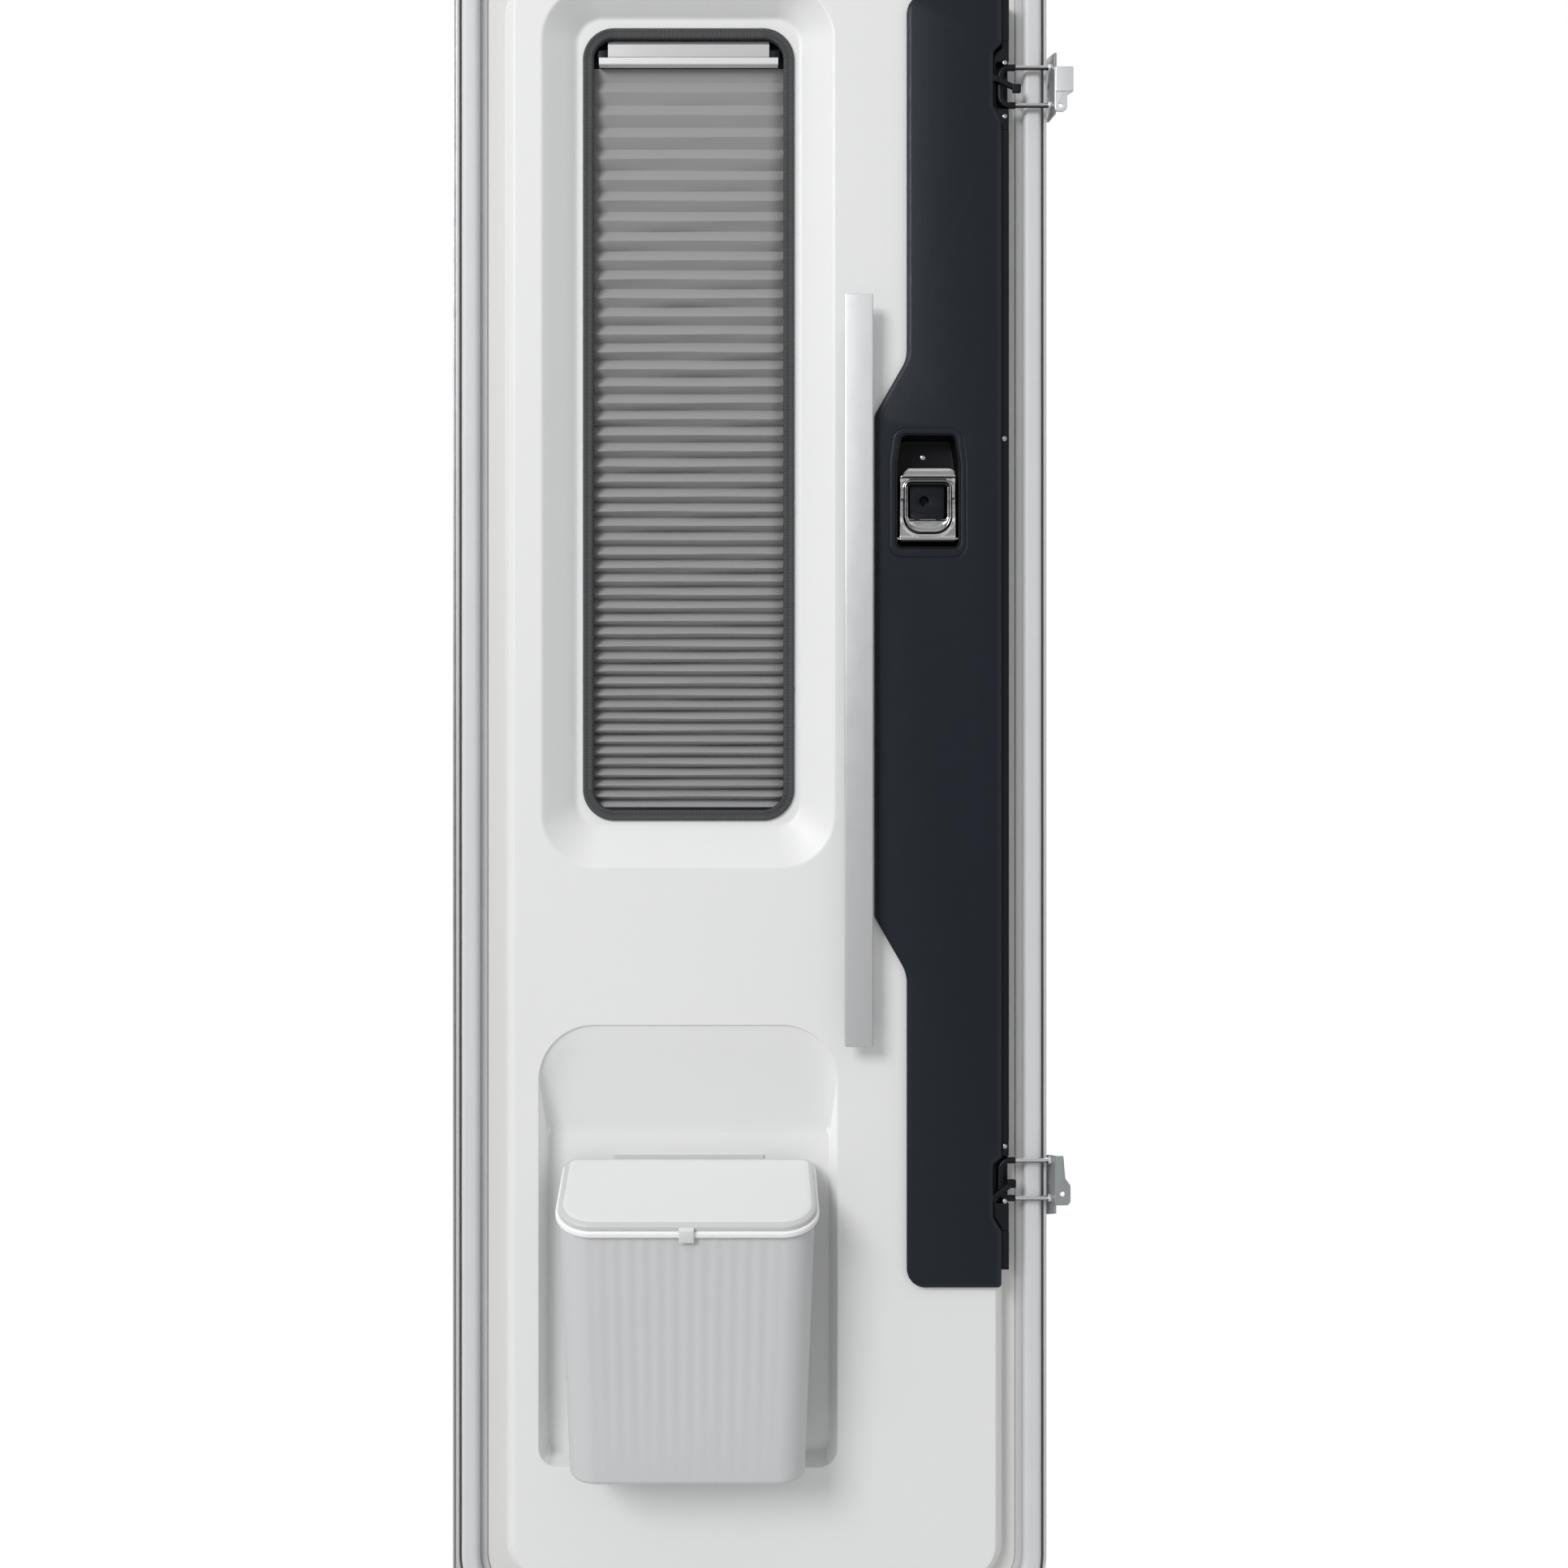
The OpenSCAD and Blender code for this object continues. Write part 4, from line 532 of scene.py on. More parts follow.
MAT = {
    "liner": finish("liner_satin_white", (0.79, 0.795, 0.79), 0.42, 0.035, 4.0, 0.5, 1400.0, 0.10),
    "channel": finish("channel_white", (0.70, 0.695, 0.68), 0.42, 0.04, 9.0, 0.5, 1400.0, 0.10),
    # painted light: a brighter copy of the liner's white for the bin recess's side walls, standing in for light bounced
    # into them
    "wall": finish("recess_white_painted_light", (0.93, 0.935, 0.93), 0.42, 0.035, 4.0, 0.5, 1400.0, 0.10),
    "skin": finish("skin_gloss_white", (0.80, 0.805, 0.80), 0.26, 0.02, 3.0, 0.3, 200.0, 0.015,
                   Coat_Weight=0.4, Coat_Roughness=0.08),
    "profile": finish("profile_satin_white", (0.53, 0.54, 0.545), 0.35, 0.04, 9.0,
                      drawn=(700.0, 700.0, 6.0), strength=0.06),
    "seal": finish("seal_soft_grey", (0.64, 0.645, 0.65), 0.5, 0.05, 22.0, 0.6, 700.0, 0.12),
    "trim": finish("trim_dark_rubber", (0.062, 0.064, 0.067), 0.46, 0.15, 60.0, 0.6, 600.0, 0.3),
    "cover": finish("cover_blue_black", (0.0050, 0.0088, 0.0155), 0.46, 0.20, 5.0, 1.0, 520.0, 0.24,
                    distance=0.0003, Specular_IOR_Level=0.32),
    # painted highlight: a lighter copy of the cover's blue-black for the bevel along its lock edge
    "bevel": finish("cover_bevel_painted_highlight", (0.0125, 0.0165, 0.0245), 0.46, 0.20, 5.0, 1.0, 520.0, 0.24,
                    distance=0.0003, Specular_IOR_Level=0.32),
    "black": finish("moulded_black", (0.0030, 0.0045, 0.0075), 0.46, 0.15, 20.0, 0.6, 900.0, 0.2,
                    Specular_IOR_Level=0.26),
    "cup": finish("cup_satin_black", (0.0030, 0.0036, 0.0050), 0.46, 0.15, 20.0, 0.6, 900.0, 0.15,
                  Specular_IOR_Level=0.2),
    "block": finish("block_black", (0.0060, 0.0082, 0.0125), 0.46, 0.2, 30.0, 0.6, 900.0, 0.2,
                    Specular_IOR_Level=0.2),
    "cassette": finish("cassette_white", (0.56, 0.56, 0.565), 0.4, 0.03, 12.0, 0.4, 900.0, 0.1),
    "ridge": finish("cassette_ridge", (0.15, 0.15, 0.155), 0.45, 0.03, 12.0, 0.4, 900.0, 0.1),
    "pull": finish("pull_white", (0.73, 0.73, 0.73), 0.34, 0.03, 12.0, 0.4, 900.0, 0.08),
    "grab": finish("grab_anodised", (0.90, 0.905, 0.91), 0.42, 0.03, 5.0, 0.6, 1100.0, metal=0.75, strength=0.08),
    "chrome": finish("lever_chrome", (0.95, 0.95, 0.95), 0.10, 0.03, 30.0, drawn=(60.0, 60.0, 60.0), metal=1.0,
                     strength=0.03),
    "steel": finish("rod_steel", (0.88, 0.88, 0.88), 0.14, 0.06, 40.0, drawn=(20.0, 900.0, 900.0), metal=1.0,
                    strength=0.08),
    "zinc": finish("bracket_zinc", (0.78, 0.80, 0.81), 0.42, 0.08, 90.0, 0.5, 500.0, metal=0.6, strength=0.1),
    # painted shade: a darker copy of the bracket's zinc for the upper keeper's side plate
    "edge": finish("bracket_side_painted_shade", (0.34, 0.345, 0.35), 0.40, 0.12, 90.0, 0.5, 500.0, metal=0.8, strength=0.1),
    "dull": finish("bracket_dull", (0.40, 0.42, 0.425), 0.48, 0.15, 80.0, 0.5, 500.0, metal=0.7, strength=0.12),
    "screw": finish("screw_steel", (0.62, 0.62, 0.62), 0.28, 0.05, 60.0, 0.3, 900.0, metal=1.0, strength=0.1),
    "alu": finish("strip_aluminium", (0.66, 0.66, 0.665), 0.34, 0.04, 10.0, drawn=(900.0, 900.0, 8.0), metal=1.0,
                  strength=0.12),
    "foam": finish("core_foam", (0.72, 0.66, 0.48), 0.9, 0.15, 40.0, 1.0, 400.0, 0.5),
    "hanger": finish("hanger_grey", (0.66, 0.665, 0.665), 0.4, 0.04, 12.0, 0.4, 900.0, 0.1),
    "bin": finish("bin_silver_grey", (0.58, 0.585, 0.59), 0.36, 0.03, 7.0, 0.5, 1500.0, 0.08),
    "lid": finish("lid_white", (0.76, 0.765, 0.765), 0.36, 0.02, 7.0),
    # painted shade: a darker copy of the lid's white for its side and lip
    "lip": finish("lid_lip_painted_shade", (0.60, 0.605, 0.605), 0.36, 0.02, 7.0),
    # painted light: the rim ring gets a brighter white than the lid, standing in for light on its down-turned face
    "ring": finish("ring_white_painted_light", (0.95, 0.95, 0.95), 0.34, 0.02, 7.0),
    "gloss": finish("handle_gloss_black", (0.008, 0.008, 0.009), 0.14, 0.1, 20.0, 0.3, 400.0, 0.04),
    "glass": finish("pane_tinted", (0.16, 0.17, 0.18), 0.05, 0.03, Transmission_Weight=0.9, IOR=1.49,
                    Coat_Weight=0.3),
    "cloth": finish("blind_cloth", (0.30, 0.30, 0.305), 0.75, 0.04, 14.0, Sheen_Weight=0.25, Sheen_Roughness=0.5),
    "inner_glass": finish("pane_inner", (0.55, 0.57, 0.58), 0.05, 0.03, Transmission_Weight=0.9, IOR=1.49,
                          Coat_Weight=0.2),
}
ribbed(MAT["trim"], 2.2, 0.00035)
# painted reflection on the chrome lever: light and dark bands painted into its colour by its tilt
painted_reflection_bands(MAT["chrome"], [(0.0, 0.03), (0.34, 0.05), (0.43, 0.14), (0.47, 0.46), (0.50, 0.80), (0.53, 1.0), (0.57, 0.62),
                         (0.62, 0.95), (0.72, 0.55), (0.86, 1.0), (1.0, 0.8)], 0.075)
# painted reflection and shade on the rods: light on their upper side, dark on their lower side
painted_reflection_bands(MAT["steel"], [(0.0, 0.06), (0.20, 0.08), (0.34, 0.50), (0.46, 1.0), (0.70, 1.0), (1.0, 1.0)], 0.05)
# painted light on the grab bar: its colour is lighter towards the top
painted_light_by_height(MAT["grab"], -0.289, 0.516, [(0.0, 0.70), (0.45, 0.80), (0.75, 0.93), (1.0, 1.0)])
woven(MAT["cloth"])

NODES_BY_FINISH = {
    "alu": "hinge_wall_strip hinge_leaf_strip", "steel": "hinge_pin keeper_loop_upper keeper_loop_lower lever_pin",
    "zinc": "keeper_bracket_upper", "dull": "keeper_bracket_lower",
    "black": "keeper_sleeve_upper keeper_sleeve_lower window_gasket lock_rail latch_housing_upper "
             "latch_housing_lower outer_handle_flap claw_upper claw_lower",
    "skin": "outer_skin", "profile": "edge_profile", "seal": "perimeter_seal", "foam": "door_core",
    "liner": "inner_liner window_frame", "glass": "window_outer_pane", "inner_glass": "window_inner_pane",
    "trim": "window_trim", "cassette": "blind_cassette", "pull": "blind_pull_bar", "cloth": "blind_fabric",
    "grab": "grab_bar grab_bar_posts", "cover": "lock_cover", "cup": "handle_cup", "block": "handle_block",
    "hanger": "bin_hanger", "gloss": "outer_handle_plate", "chrome": "key_cylinder inner_lever", "bin": "bin_body",
    "ring": "bin_ring", "lid": "bin_lid",
}
for key, parts in NODES_BY_FINISH.items():
    for part in parts.split():
        node[part].data.materials.clear()
        node[part].data.materials.append(MAT[key])


# ---------------------------------------------------------------- liner
def liner():
    """Moulded liner: channel floor, rolled panel edge, flat face, sloped window surround and bin recess."""
    s = Surface()
    leaf, panel = rounded(*LEAF), rounded(*PANEL)
    edge = carried(leaf, [(33.2, -9.8), (33.2, -11.2)] + ringed((34.0, -11.2, 0.8), 180, 270, 3))
    s.grid(edge)
    wall = carried(panel, [(-4.0, FLOOR_Y)] + ringed((-4.0, FLOOR_Y - 4.0, 4.0), 90, 0, 4)
                   + ringed((2.5, -23.4, 2.5), 180, 222, 4) + ringed((9.2, FACE_Y + 2.5, 2.5), 228, 270, 4)
                   + [(11.5, FACE_Y)])
    s.plate(FLOOR_Y, edge[-1], [wall[0]])
    s.grid(wall)
    mouth, rim = rounded(*MOUTH, n=18), rounded(*RIM, n=18)
    t = np.array([-0.06, -0.05, -0.03, -0.01, 0.01, 0.03, 0.05, 0.3, 0.6, 0.86, 0.91, 0.955, 1.0, 1.045, 1.06])
    y = np.interp(t, [0.0, 0.86], [0.0, 21.5])
    roll = np.abs(t) < 0.051
    y[roll] = 1.25 * ((t[roll] + 0.05) / 0.1) ** 2
    y[0] = 0.0
    low = t > 0.86
    y[low] = 25.0 - 3.5 * ((1.045 - t[low]).clip(0) / 0.185) ** 1.9
    funnel = np.zeros((len(t), len(mouth), 3))
    funnel[..., [0, 2]] = mouth + (rim - mouth) * t[:, None, None]
    funnel[..., 1] = FACE_Y + y[:, None]
    s.grid(funnel)
    opening = rounded(*grown(TRIM, -8.0))
    s.plate(RIM_Y, funnel[-1], [opening])
    s.grid(carried(opening, [(0.0, RIM_Y), (0.0, RIM_Y + 2.4)]))
    niche, back = rounded(*NICHE, n=18), rounded(*NICHE_BACK, n=18)
    k = np.array([-0.3, 0.0, 0.0, 0.0, 0.05, 0.12, 0.22, 0.5, 0.88, 0.95, 1.0, 1.03])
    d = np.array([0.0, 0.0, 0.8, 2.0, 3.2, 4.6, 7.0, 14.3, 24.0, 25.9, 26.7, 27.0])
    out = np.array([1.6, 1.2, 0.2, 0.0, 0.0, 0.0, 0.0, 0.0, 0.0, 0.0, 0.0, 0.0])
    recess = np.zeros((len(k), len(niche), 3))
    kk = k.clip(0)[:, None, None]
    recess[..., [0, 2]] = niche * (1 - kk) + back * kk + outward(niche) * out[:, None, None]
    recess[..., 1] = FACE_Y + d[:, None]
    s.grid(recess)
    s.plate(NICHE_Y, recess[-1])
    s.plate(FACE_Y, wall[-1], [funnel[0], recess[0]])
    return s.make("moulded_liner", "liner", "liner_plastic", ["inner_liner"], sharp=40, closed=False)


def face_the_room(ob):
    """Turns an open sheet's faces so that they look towards the room or away from the door's middle."""
    bm = bmesh.new()
    bm.from_mesh(ob.data)
    bmesh.ops.recalc_face_normals(bm, faces=bm.faces)
    bm.faces.ensure_lookup_table()
    widest = max(bm.faces, key=lambda f: f.calc_area())
    if widest.normal.y > 0:
        bmesh.ops.reverse_faces(bm, faces=bm.faces)
    bm.to_mesh(ob.data)
    bm.free()


def thicken(ob, thickness, offset=-1.0):
    """Gives an open sheet its wall: on the side away from the room, or about its middle at offset 0."""
    mod = ob.modifiers.new("wall", "SOLIDIFY")
    mod.thickness, mod.offset = thickness * MM, offset


def second_finish_or_painted_light(ob, material, where):
    """Gives another finish, or a copy with painted light or shade, to the faces whose middle, in millimetres, the rule
    picks.
    """
    me = ob.data
    mid, index = np.zeros(len(me.polygons) * 3), np.zeros(len(me.polygons), np.int32)
    me.polygons.foreach_get("center", mid)
    me.polygons.foreach_get("material_index", index)
    index[where(mid.reshape(-1, 3) / MM)] = len(me.materials)
    me.materials.append(MAT[material])
    me.polygons.foreach_set("material_index", index)


def combined(ob, kind, others):
    """Cuts other pieces out of a piece or joins them to it, and leaves the result in its mesh."""
    for other in others:
        mod = ob.modifiers.new("combine", "BOOLEAN")
        mod.object, mod.solver, mod.operation = other, "EXACT", kind
    bpy.context.view_layer.update()
    result = bpy.data.meshes.new_from_object(ob.evaluated_get(bpy.context.evaluated_depsgraph_get()))
    ob.modifiers.clear()
    old = ob.data
    result.name = ob.name
    ob.data = result
    for mesh in [old] + [o.data for o in others]:
        for o in [o for o in bpy.data.objects if o.data is mesh]:
            bpy.data.objects.remove(o)
        bpy.data.meshes.remove(mesh)


def cut(ob, boxes):
    """Takes plain boxes out of a piece."""
    bm = bmesh.new()
    for box in boxes:
        low, high = np.array(box[::2]) * MM, np.array(box[1::2]) * MM
        for v in bmesh.ops.create_cube(bm, size=1.0)["verts"]:
            v.co = (low + high) / 2 + np.array(v.co) * (high - low)
    me = bpy.data.meshes.new("cutter")
    bm.to_mesh(me)
    bm.free()
    tool = bpy.data.objects.new("cutter", me)
    bpy.context.scene.collection.objects.link(tool)
    combined(ob, "DIFFERENCE", [tool])


skin = liner()
face_the_room(skin)
thicken(skin, 2.4)
second_finish_or_painted_light(skin, "channel", lambda c: (abs(c[:, 1] - FLOOR_Y) < 0.05) | (c[:, 1] > -13.0)
              & ((c[:, 0] < 60) | (c[:, 0] > 602) | (abs(c[:, 2]) > 879)))
# painted light: the bin recess's side walls get the brighter white
second_finish_or_painted_light(skin, "wall", lambda c: (abs(c[:, 0] - BAY_X) < 163) & (abs(c[:, 0] - BAY_X) > 152) & (c[:, 2] < -385)
              & (c[:, 2] > -750) & (c[:, 1] > -29.5) & (c[:, 1] < -5.2))
cut(skin, [(565.0, 640.0, -60.0, -12.02, z - 48.2, z + 48.2) for z in (LATCHES["upper"], LATCHES["lower"] - LOWER_DROP)]
    + [(CUP_X - 35.2, CUP_X + 35.2, -60.0, 0.0, CUP_Z - 62.2, CUP_Z + 62.2)])


# ---------------------------------------------------------------- rim profile and seal
def edge_profile():
    """Rim extrusion carried round the leaf: fin, groove, seal seat and ledge, each corner slightly rolled."""
    r = 0.5
    prof = ([(33.0, 11.3), (0.6, 11.3), (0.0, 10.7), (0.0, -18.4)] + ringed((0.6, -18.4, 0.6), 180, 270, 3)
            + ringed((2.3, -18.4, 0.6), 270, 360, 3) + [(2.9, -9.6), (3.4, -9.0), (5.4, -9.0), (6.0, -9.6)]
            + ringed((6.0 + r, -12.0 + r, r), 180, 270, 3) + [(23.6, -12.0), (24.2, -12.3)]
            + ringed((24.2 + r, -13.5 + r, r), 180, 270, 3) + ringed((33.0 - r, -13.5 + r, r), 270, 360, 3))
    rim = carried(divided(rounded(*LEAF, n=20), 60.0), prof)
    Surface().grid(rim, closed_u=True).make("rim_extrusion", "profile", "profile_white", ["edge_profile"])


def seal():
    """Hollow rubber seal: a bulb with a flattened front on a narrow foot, with a slow unevenness along its run.
    The bulb is a curve |u|^4 + |v|^2.6 = 1, so its front stays nearly flat and its sides roll over quickly."""
    outline = divided(rounded(*LEAF, n=28), 12.0)
    run = length_along(np.concatenate([outline, outline[:1]]))[1:]
    a = run / run[-1] * 2 * np.pi
    wave = 0.18 * np.sin(23 * a) + 0.14 * np.sin(61 * a + 1.3) + 0.10 * np.sin(137 * a + 0.4)
    mid, half, depth, foot = 15.6, 9.8, 8.0, 7.0
    top = FLOOR_Y - 12.2 + depth
    turn = np.radians(np.linspace(172, 368, 34))
    side, front = np.cos(turn), np.sin(turn)
    bulge = np.stack([mid + half * np.sign(side) * abs(side) ** 0.5,
                      top + depth * np.sign(front) * abs(front) ** 0.77], 1)
    prof = ([(mid - foot, FLOOR_Y - 0.02), (mid - foot, -13.6)] + bulge.tolist()
            + [(mid + foot, -13.6), (mid + foot, FLOOR_Y - 0.02)])
    p = carried(outline, prof)
    p[2:-2, :, 1] += wave
    Surface().grid(p, closed_u=True).make("rubber_seal", "seal", "seal_rubber", ["perimeter_seal"], sharp=50)


edge_profile()
seal()


# ---------------------------------------------------------------- window
def window_trim():
    """Rubber bead round the window: a low crowned strip with two ribs, carried round the opening."""
    outline = divided(rounded(*TRIM, n=20), 20.0)
    run = length_along(np.concatenate([outline, outline[:1]]))
    prof = [(0.0, RIM_Y - 0.02), (0.0, -8.6), (0.5, -9.8), (1.5, -10.6), (2.8, -10.9), (4.0, -10.5), (5.0, -10.1),
            (6.0, -10.0), (7.0, -10.1), (8.0, -10.5), (9.2, -10.9), (10.5, -10.6), (11.5, -9.8), (12.0, -8.6),
            (12.0, -4.8), (10.2, -4.8), (10.2, RIM_Y - 0.02)]
    uv = np.zeros((len(prof) + 1, len(outline) + 1, 2))
    uv[..., 0] = run[None]
    bead = Surface().grid(carried(outline, prof), closed_u=True, uv=uv)
    bead.make("window_bead", "trim", "trim_rubber", ["window_trim"])


def fold_lines():
    """Heights and half depths of the blind's folds: n pleats drop by 8n + 17.8 * 30 * (1 - exp(-n / 30)), scaled to
    the cloth's height, and each zigzag's depth follows from cloth that is 14 mm from fold to fold."""
    top, low, pleats = 782.5, -33.4, 48
    n = np.arange(2 * pleats + 3) / 2
    drop = 8.0 * n + 17.8 * 30.0 * (1 - np.exp(-n / 30.0))
    z = top - (top - low) * drop / drop[2 * pleats]
    pitch = z[:-2] - z[2:]
    return z[:-2], np.sqrt(14.0 ** 2 - pitch ** 2 / 4) / 2, pitch


def blind():
    """Pleated cloth: a zigzag over the fold lines with rounded folds; lower down the front folds hang by a quarter
    of a pleat, because the cloth gathers there."""
    z, half, pitch = fold_lines()
    side = np.where(np.arange(len(z)) % 2 == 0, -1.0, 1.0)
    y = RIM_Y + 9.4 + side * half
    low_down = np.linspace(0.0, 1.0, len(z))
    z = z + (side > 0) * pitch * 0.24 * (low_down / 0.45).clip(0, 1)
    pts = np.stack([y, z], 1)
    # each fold becomes three points: just before, the rounded tip, just after
    before = pts[1:-1] + (pts[:-2] - pts[1:-1]) * 0.05
    after = pts[1:-1] + (pts[2:] - pts[1:-1]) * 0.05
    tip = (before + after) / 2 * 0.45 + pts[1:-1] * 0.55
    line = np.concatenate([pts[:1], np.stack([before, tip, after], 1).reshape(-1, 2), pts[-1:]])
    x = np.linspace(*CLOTH_X, 13)
    p = np.zeros((len(line), len(x), 3))
    p[..., 0] = x[None]
    p[..., 1] = line[:, :1]
    k = np.arange(len(line))[:, None]
    fade = np.minimum(1, np.minimum(k, len(line) - 1 - k) / 6.0)
    p[..., 2] = line[:, 1:] + fade * (0.35 * np.sin(x[None] / 31.0 + k * 0.9) * np.cos(k * 0.37))
    run = length_along(line)
    uv = np.zeros(p.shape[:2] + (2,))
    uv[..., 0], uv[..., 1] = x[None], run[:, None]
    ob = Surface().grid(p, around=False, uv=uv).make("pleated_cloth", "cloth", "blind_cloth", ["blind_fabric"],
                                                     sharp=60, closed=False)
    thicken(ob, 0.45, 0.0)


window_trim()
blind()
block_solid(*CLOTH_X, 1.2, 3.0, 783.4, 813.0, 0.4).make("cassette_back", "black", "cassette_grey")
block_solid(*CLOTH_X, -6.0, 4.0, -38.2, -34.3, 0.8).make("blind_sill", "black", "cassette_grey")
cassette = bar_x(corner_arcs([(-9.4, 791.1, 1.2), (1.5, 791.1, 0.6), (1.5, 809.9, 0.6), (-6.0, 809.9, 0.8),
                              (-7.2, 806.2, 0.5), (-9.7, 805.2, 1.0)], 4), BAY_X - 88.7, BAY_X + 88.7, 0.5)
case = cassette.make("cassette_case", "cassette", "cassette_grey", ["blind_cassette"], sharp=40)
second_finish_or_painted_light(case, "ridge", lambda c: c[:, 2] > 805.3)
for side, at in (("left", BAY_X - 94.4), ("right", BAY_X + 94.4)):
    end = bar_x(corner_arcs([(-6.0, 791.3, 1.0), (0.5, 791.3, 0.6), (0.5, 803.1, 1.0), (-6.0, 801.0, 2.0)], 4),
                at - 5.9, at + 5.9, 0.8)
    end.make("cassette_end_" + side, "black", "cassette_grey")
pull = bar_x(corner_arcs([(-9.8, 782.8, 1.0), (-1.6, 782.8, 0.6), (-1.6, 790.8, 0.6), (-9.6, 790.8, 0.5),
                          (-10.0, 789.8, 0.3), (-10.6, 789.4, 0.4), (-10.6, 783.6, 0.6)], 4),
             BAY_X - 98.5, BAY_X + 98.5, 0.5)
pull.make("pull_rail", "pull", "bar_plastic", ["blind_pull_bar"], sharp=40)


# ---------------------------------------------------------------- grab bar
bar = block_solid(426.6, 457.0, -57.0, -51.0, -289.0, 516.0, 1.5, n=5)
bar.make("grab_rail", "grab", "bar_grey", ["grab_bar"], sharp=50)
for place, z in (("upper", 490.0), ("lower", -263.0)):
    foot = turned((441.8, -32.0, z), "-Y", [(12.0, 0.0), (12.0, 1.2), (11.2, 2.0), (8.4, 2.3), (8.0, 2.8), (8.0, 19.0)],
                  n=48)
    foot.make("grab_foot_" + place, "grab", "post_grey", ["grab_bar_posts"] if place == "upper" else ())


# ---------------------------------------------------------------- lock cover
def cover_points():
    """Corners of the lock cover: straight blade with a bulge beside the grab bar and two notches for the latches."""
    x0, x1, notch = 495.4, EDGE_X, NOTCH_X
    zu, zl = LATCHES["upper"], LATCHES["lower"]
    return [(x0, -552, 19), (x1, -552, 4), (x1, zl - 54, 4), (notch, zl - 39, 8), (notch, zl + 18.5, 5),
            (x1, zl + 27, 4), (x1, zu - 41, 4), (notch, zu - 25, 8), (notch, zu + 34, 5), (x1, zu + 43, 3),
            (x1, 845, 4), (x0, 845, 19), (x0, 452, 40), (x0 - 35, 391, 12), (x0 - 35, -152, 12), (x0, -213, 40)]


def cup_points(grow, low=0.0):
    """Corners of the handle's cup: straight sides, a narrower tapered top and small radii."""
    w, top = 33.0 + grow, 28.2 + grow
    z0, z1 = CUP_Z - 60.0 - grow - low, CUP_Z + 60.0 + grow
    side = CUP_Z + 30.0
    return [(CUP_X - w, z0, 5 + grow), (CUP_X + w, z0, 5 + grow), (CUP_X + w, side, 20), (CUP_X + top, z1, 6 + grow),
            (CUP_X - top, z1, 6 + grow), (CUP_X - w, side, 20)]


def stepped(points, profile):
    """Corner polygon moved inwards step by step: rings at (inset, y), each with radii that match its inset."""
    return np.array([level(corner_arcs(moved_in(points, inset)), y) for inset, y in profile])


def lock_cover():
    """Cover shell: a blade with bevelled edges and a raised, grooved border where the handle's cup sits."""
    face = COVER_FACE
    edge = stepped(cover_points(), [(0.4, FACE_Y - 0.3), (0.0, -32.7), (0.0, -37.4), (0.15, -38.0), (0.5, -38.4),
                                    (3.4, -39.5), (4.0, -39.8), (4.6, face)])
    border = stepped(cup_points(8.3, 3.0), [(-0.9, face), (-0.5, -39.75), (0.0, -39.6), (0.4, -39.8), (0.7, -40.4),
                                            (1.3, -40.75), (2.2, -40.8)])
    hole = stepped(cup_points(2.2), [(-0.5, -40.8), (-0.1, -40.6), (0.0, -40.2), (0.0, FACE_Y - 0.3)])
    s = Surface().grid(edge).grid(border, flip=True).grid(hole, flip=True)
    s.plate(face, edge[-1], [border[0]])
    s.plate(-40.8, border[-1], [hole[0]])
    s.plate(FACE_Y - 0.3, edge[0], [hole[-1]], flip=True)
    ob = s.make("cover_shell", "cover", "cover_black", ["lock_cover"])
    # painted highlight on the cover's bevel along its lock edge
    second_finish_or_painted_light(ob, "bevel", lambda c: (c[:, 0] > 583) & (c[:, 1] > -39.95) & (c[:, 1] < -38.2))


lock_cover()
pan_screw("strip_screw", 601.2, -33.4, 366.0, 2.6)


# ---------------------------------------------------------------- handle
def smooth(a, low, high):
    """Eases from 0 at low to 1 at high along a cubic with flat ends."""
    u = ((a - low) / (high - low)).clip(0, 1)
    return u * u * (3 - 2 * u)


def from_frame(x, z, x0, x1, z0, z1, r, r_low):
    """Distance from the edge of a rounded rectangle, negative inside it; its lower corners have a radius r_low."""
    q = np.where(z < (z0 + z1) / 2, r_low, r)
    dx = np.abs(x - (x0 + x1) / 2) - (x1 - x0) / 2 + q
    dz = np.abs(z - (z0 + z1) / 2) - (z1 - z0) / 2 + q
    return np.hypot(dx.clip(0), dz.clip(0)) + np.minimum(np.maximum(dx, dz), 0) - q


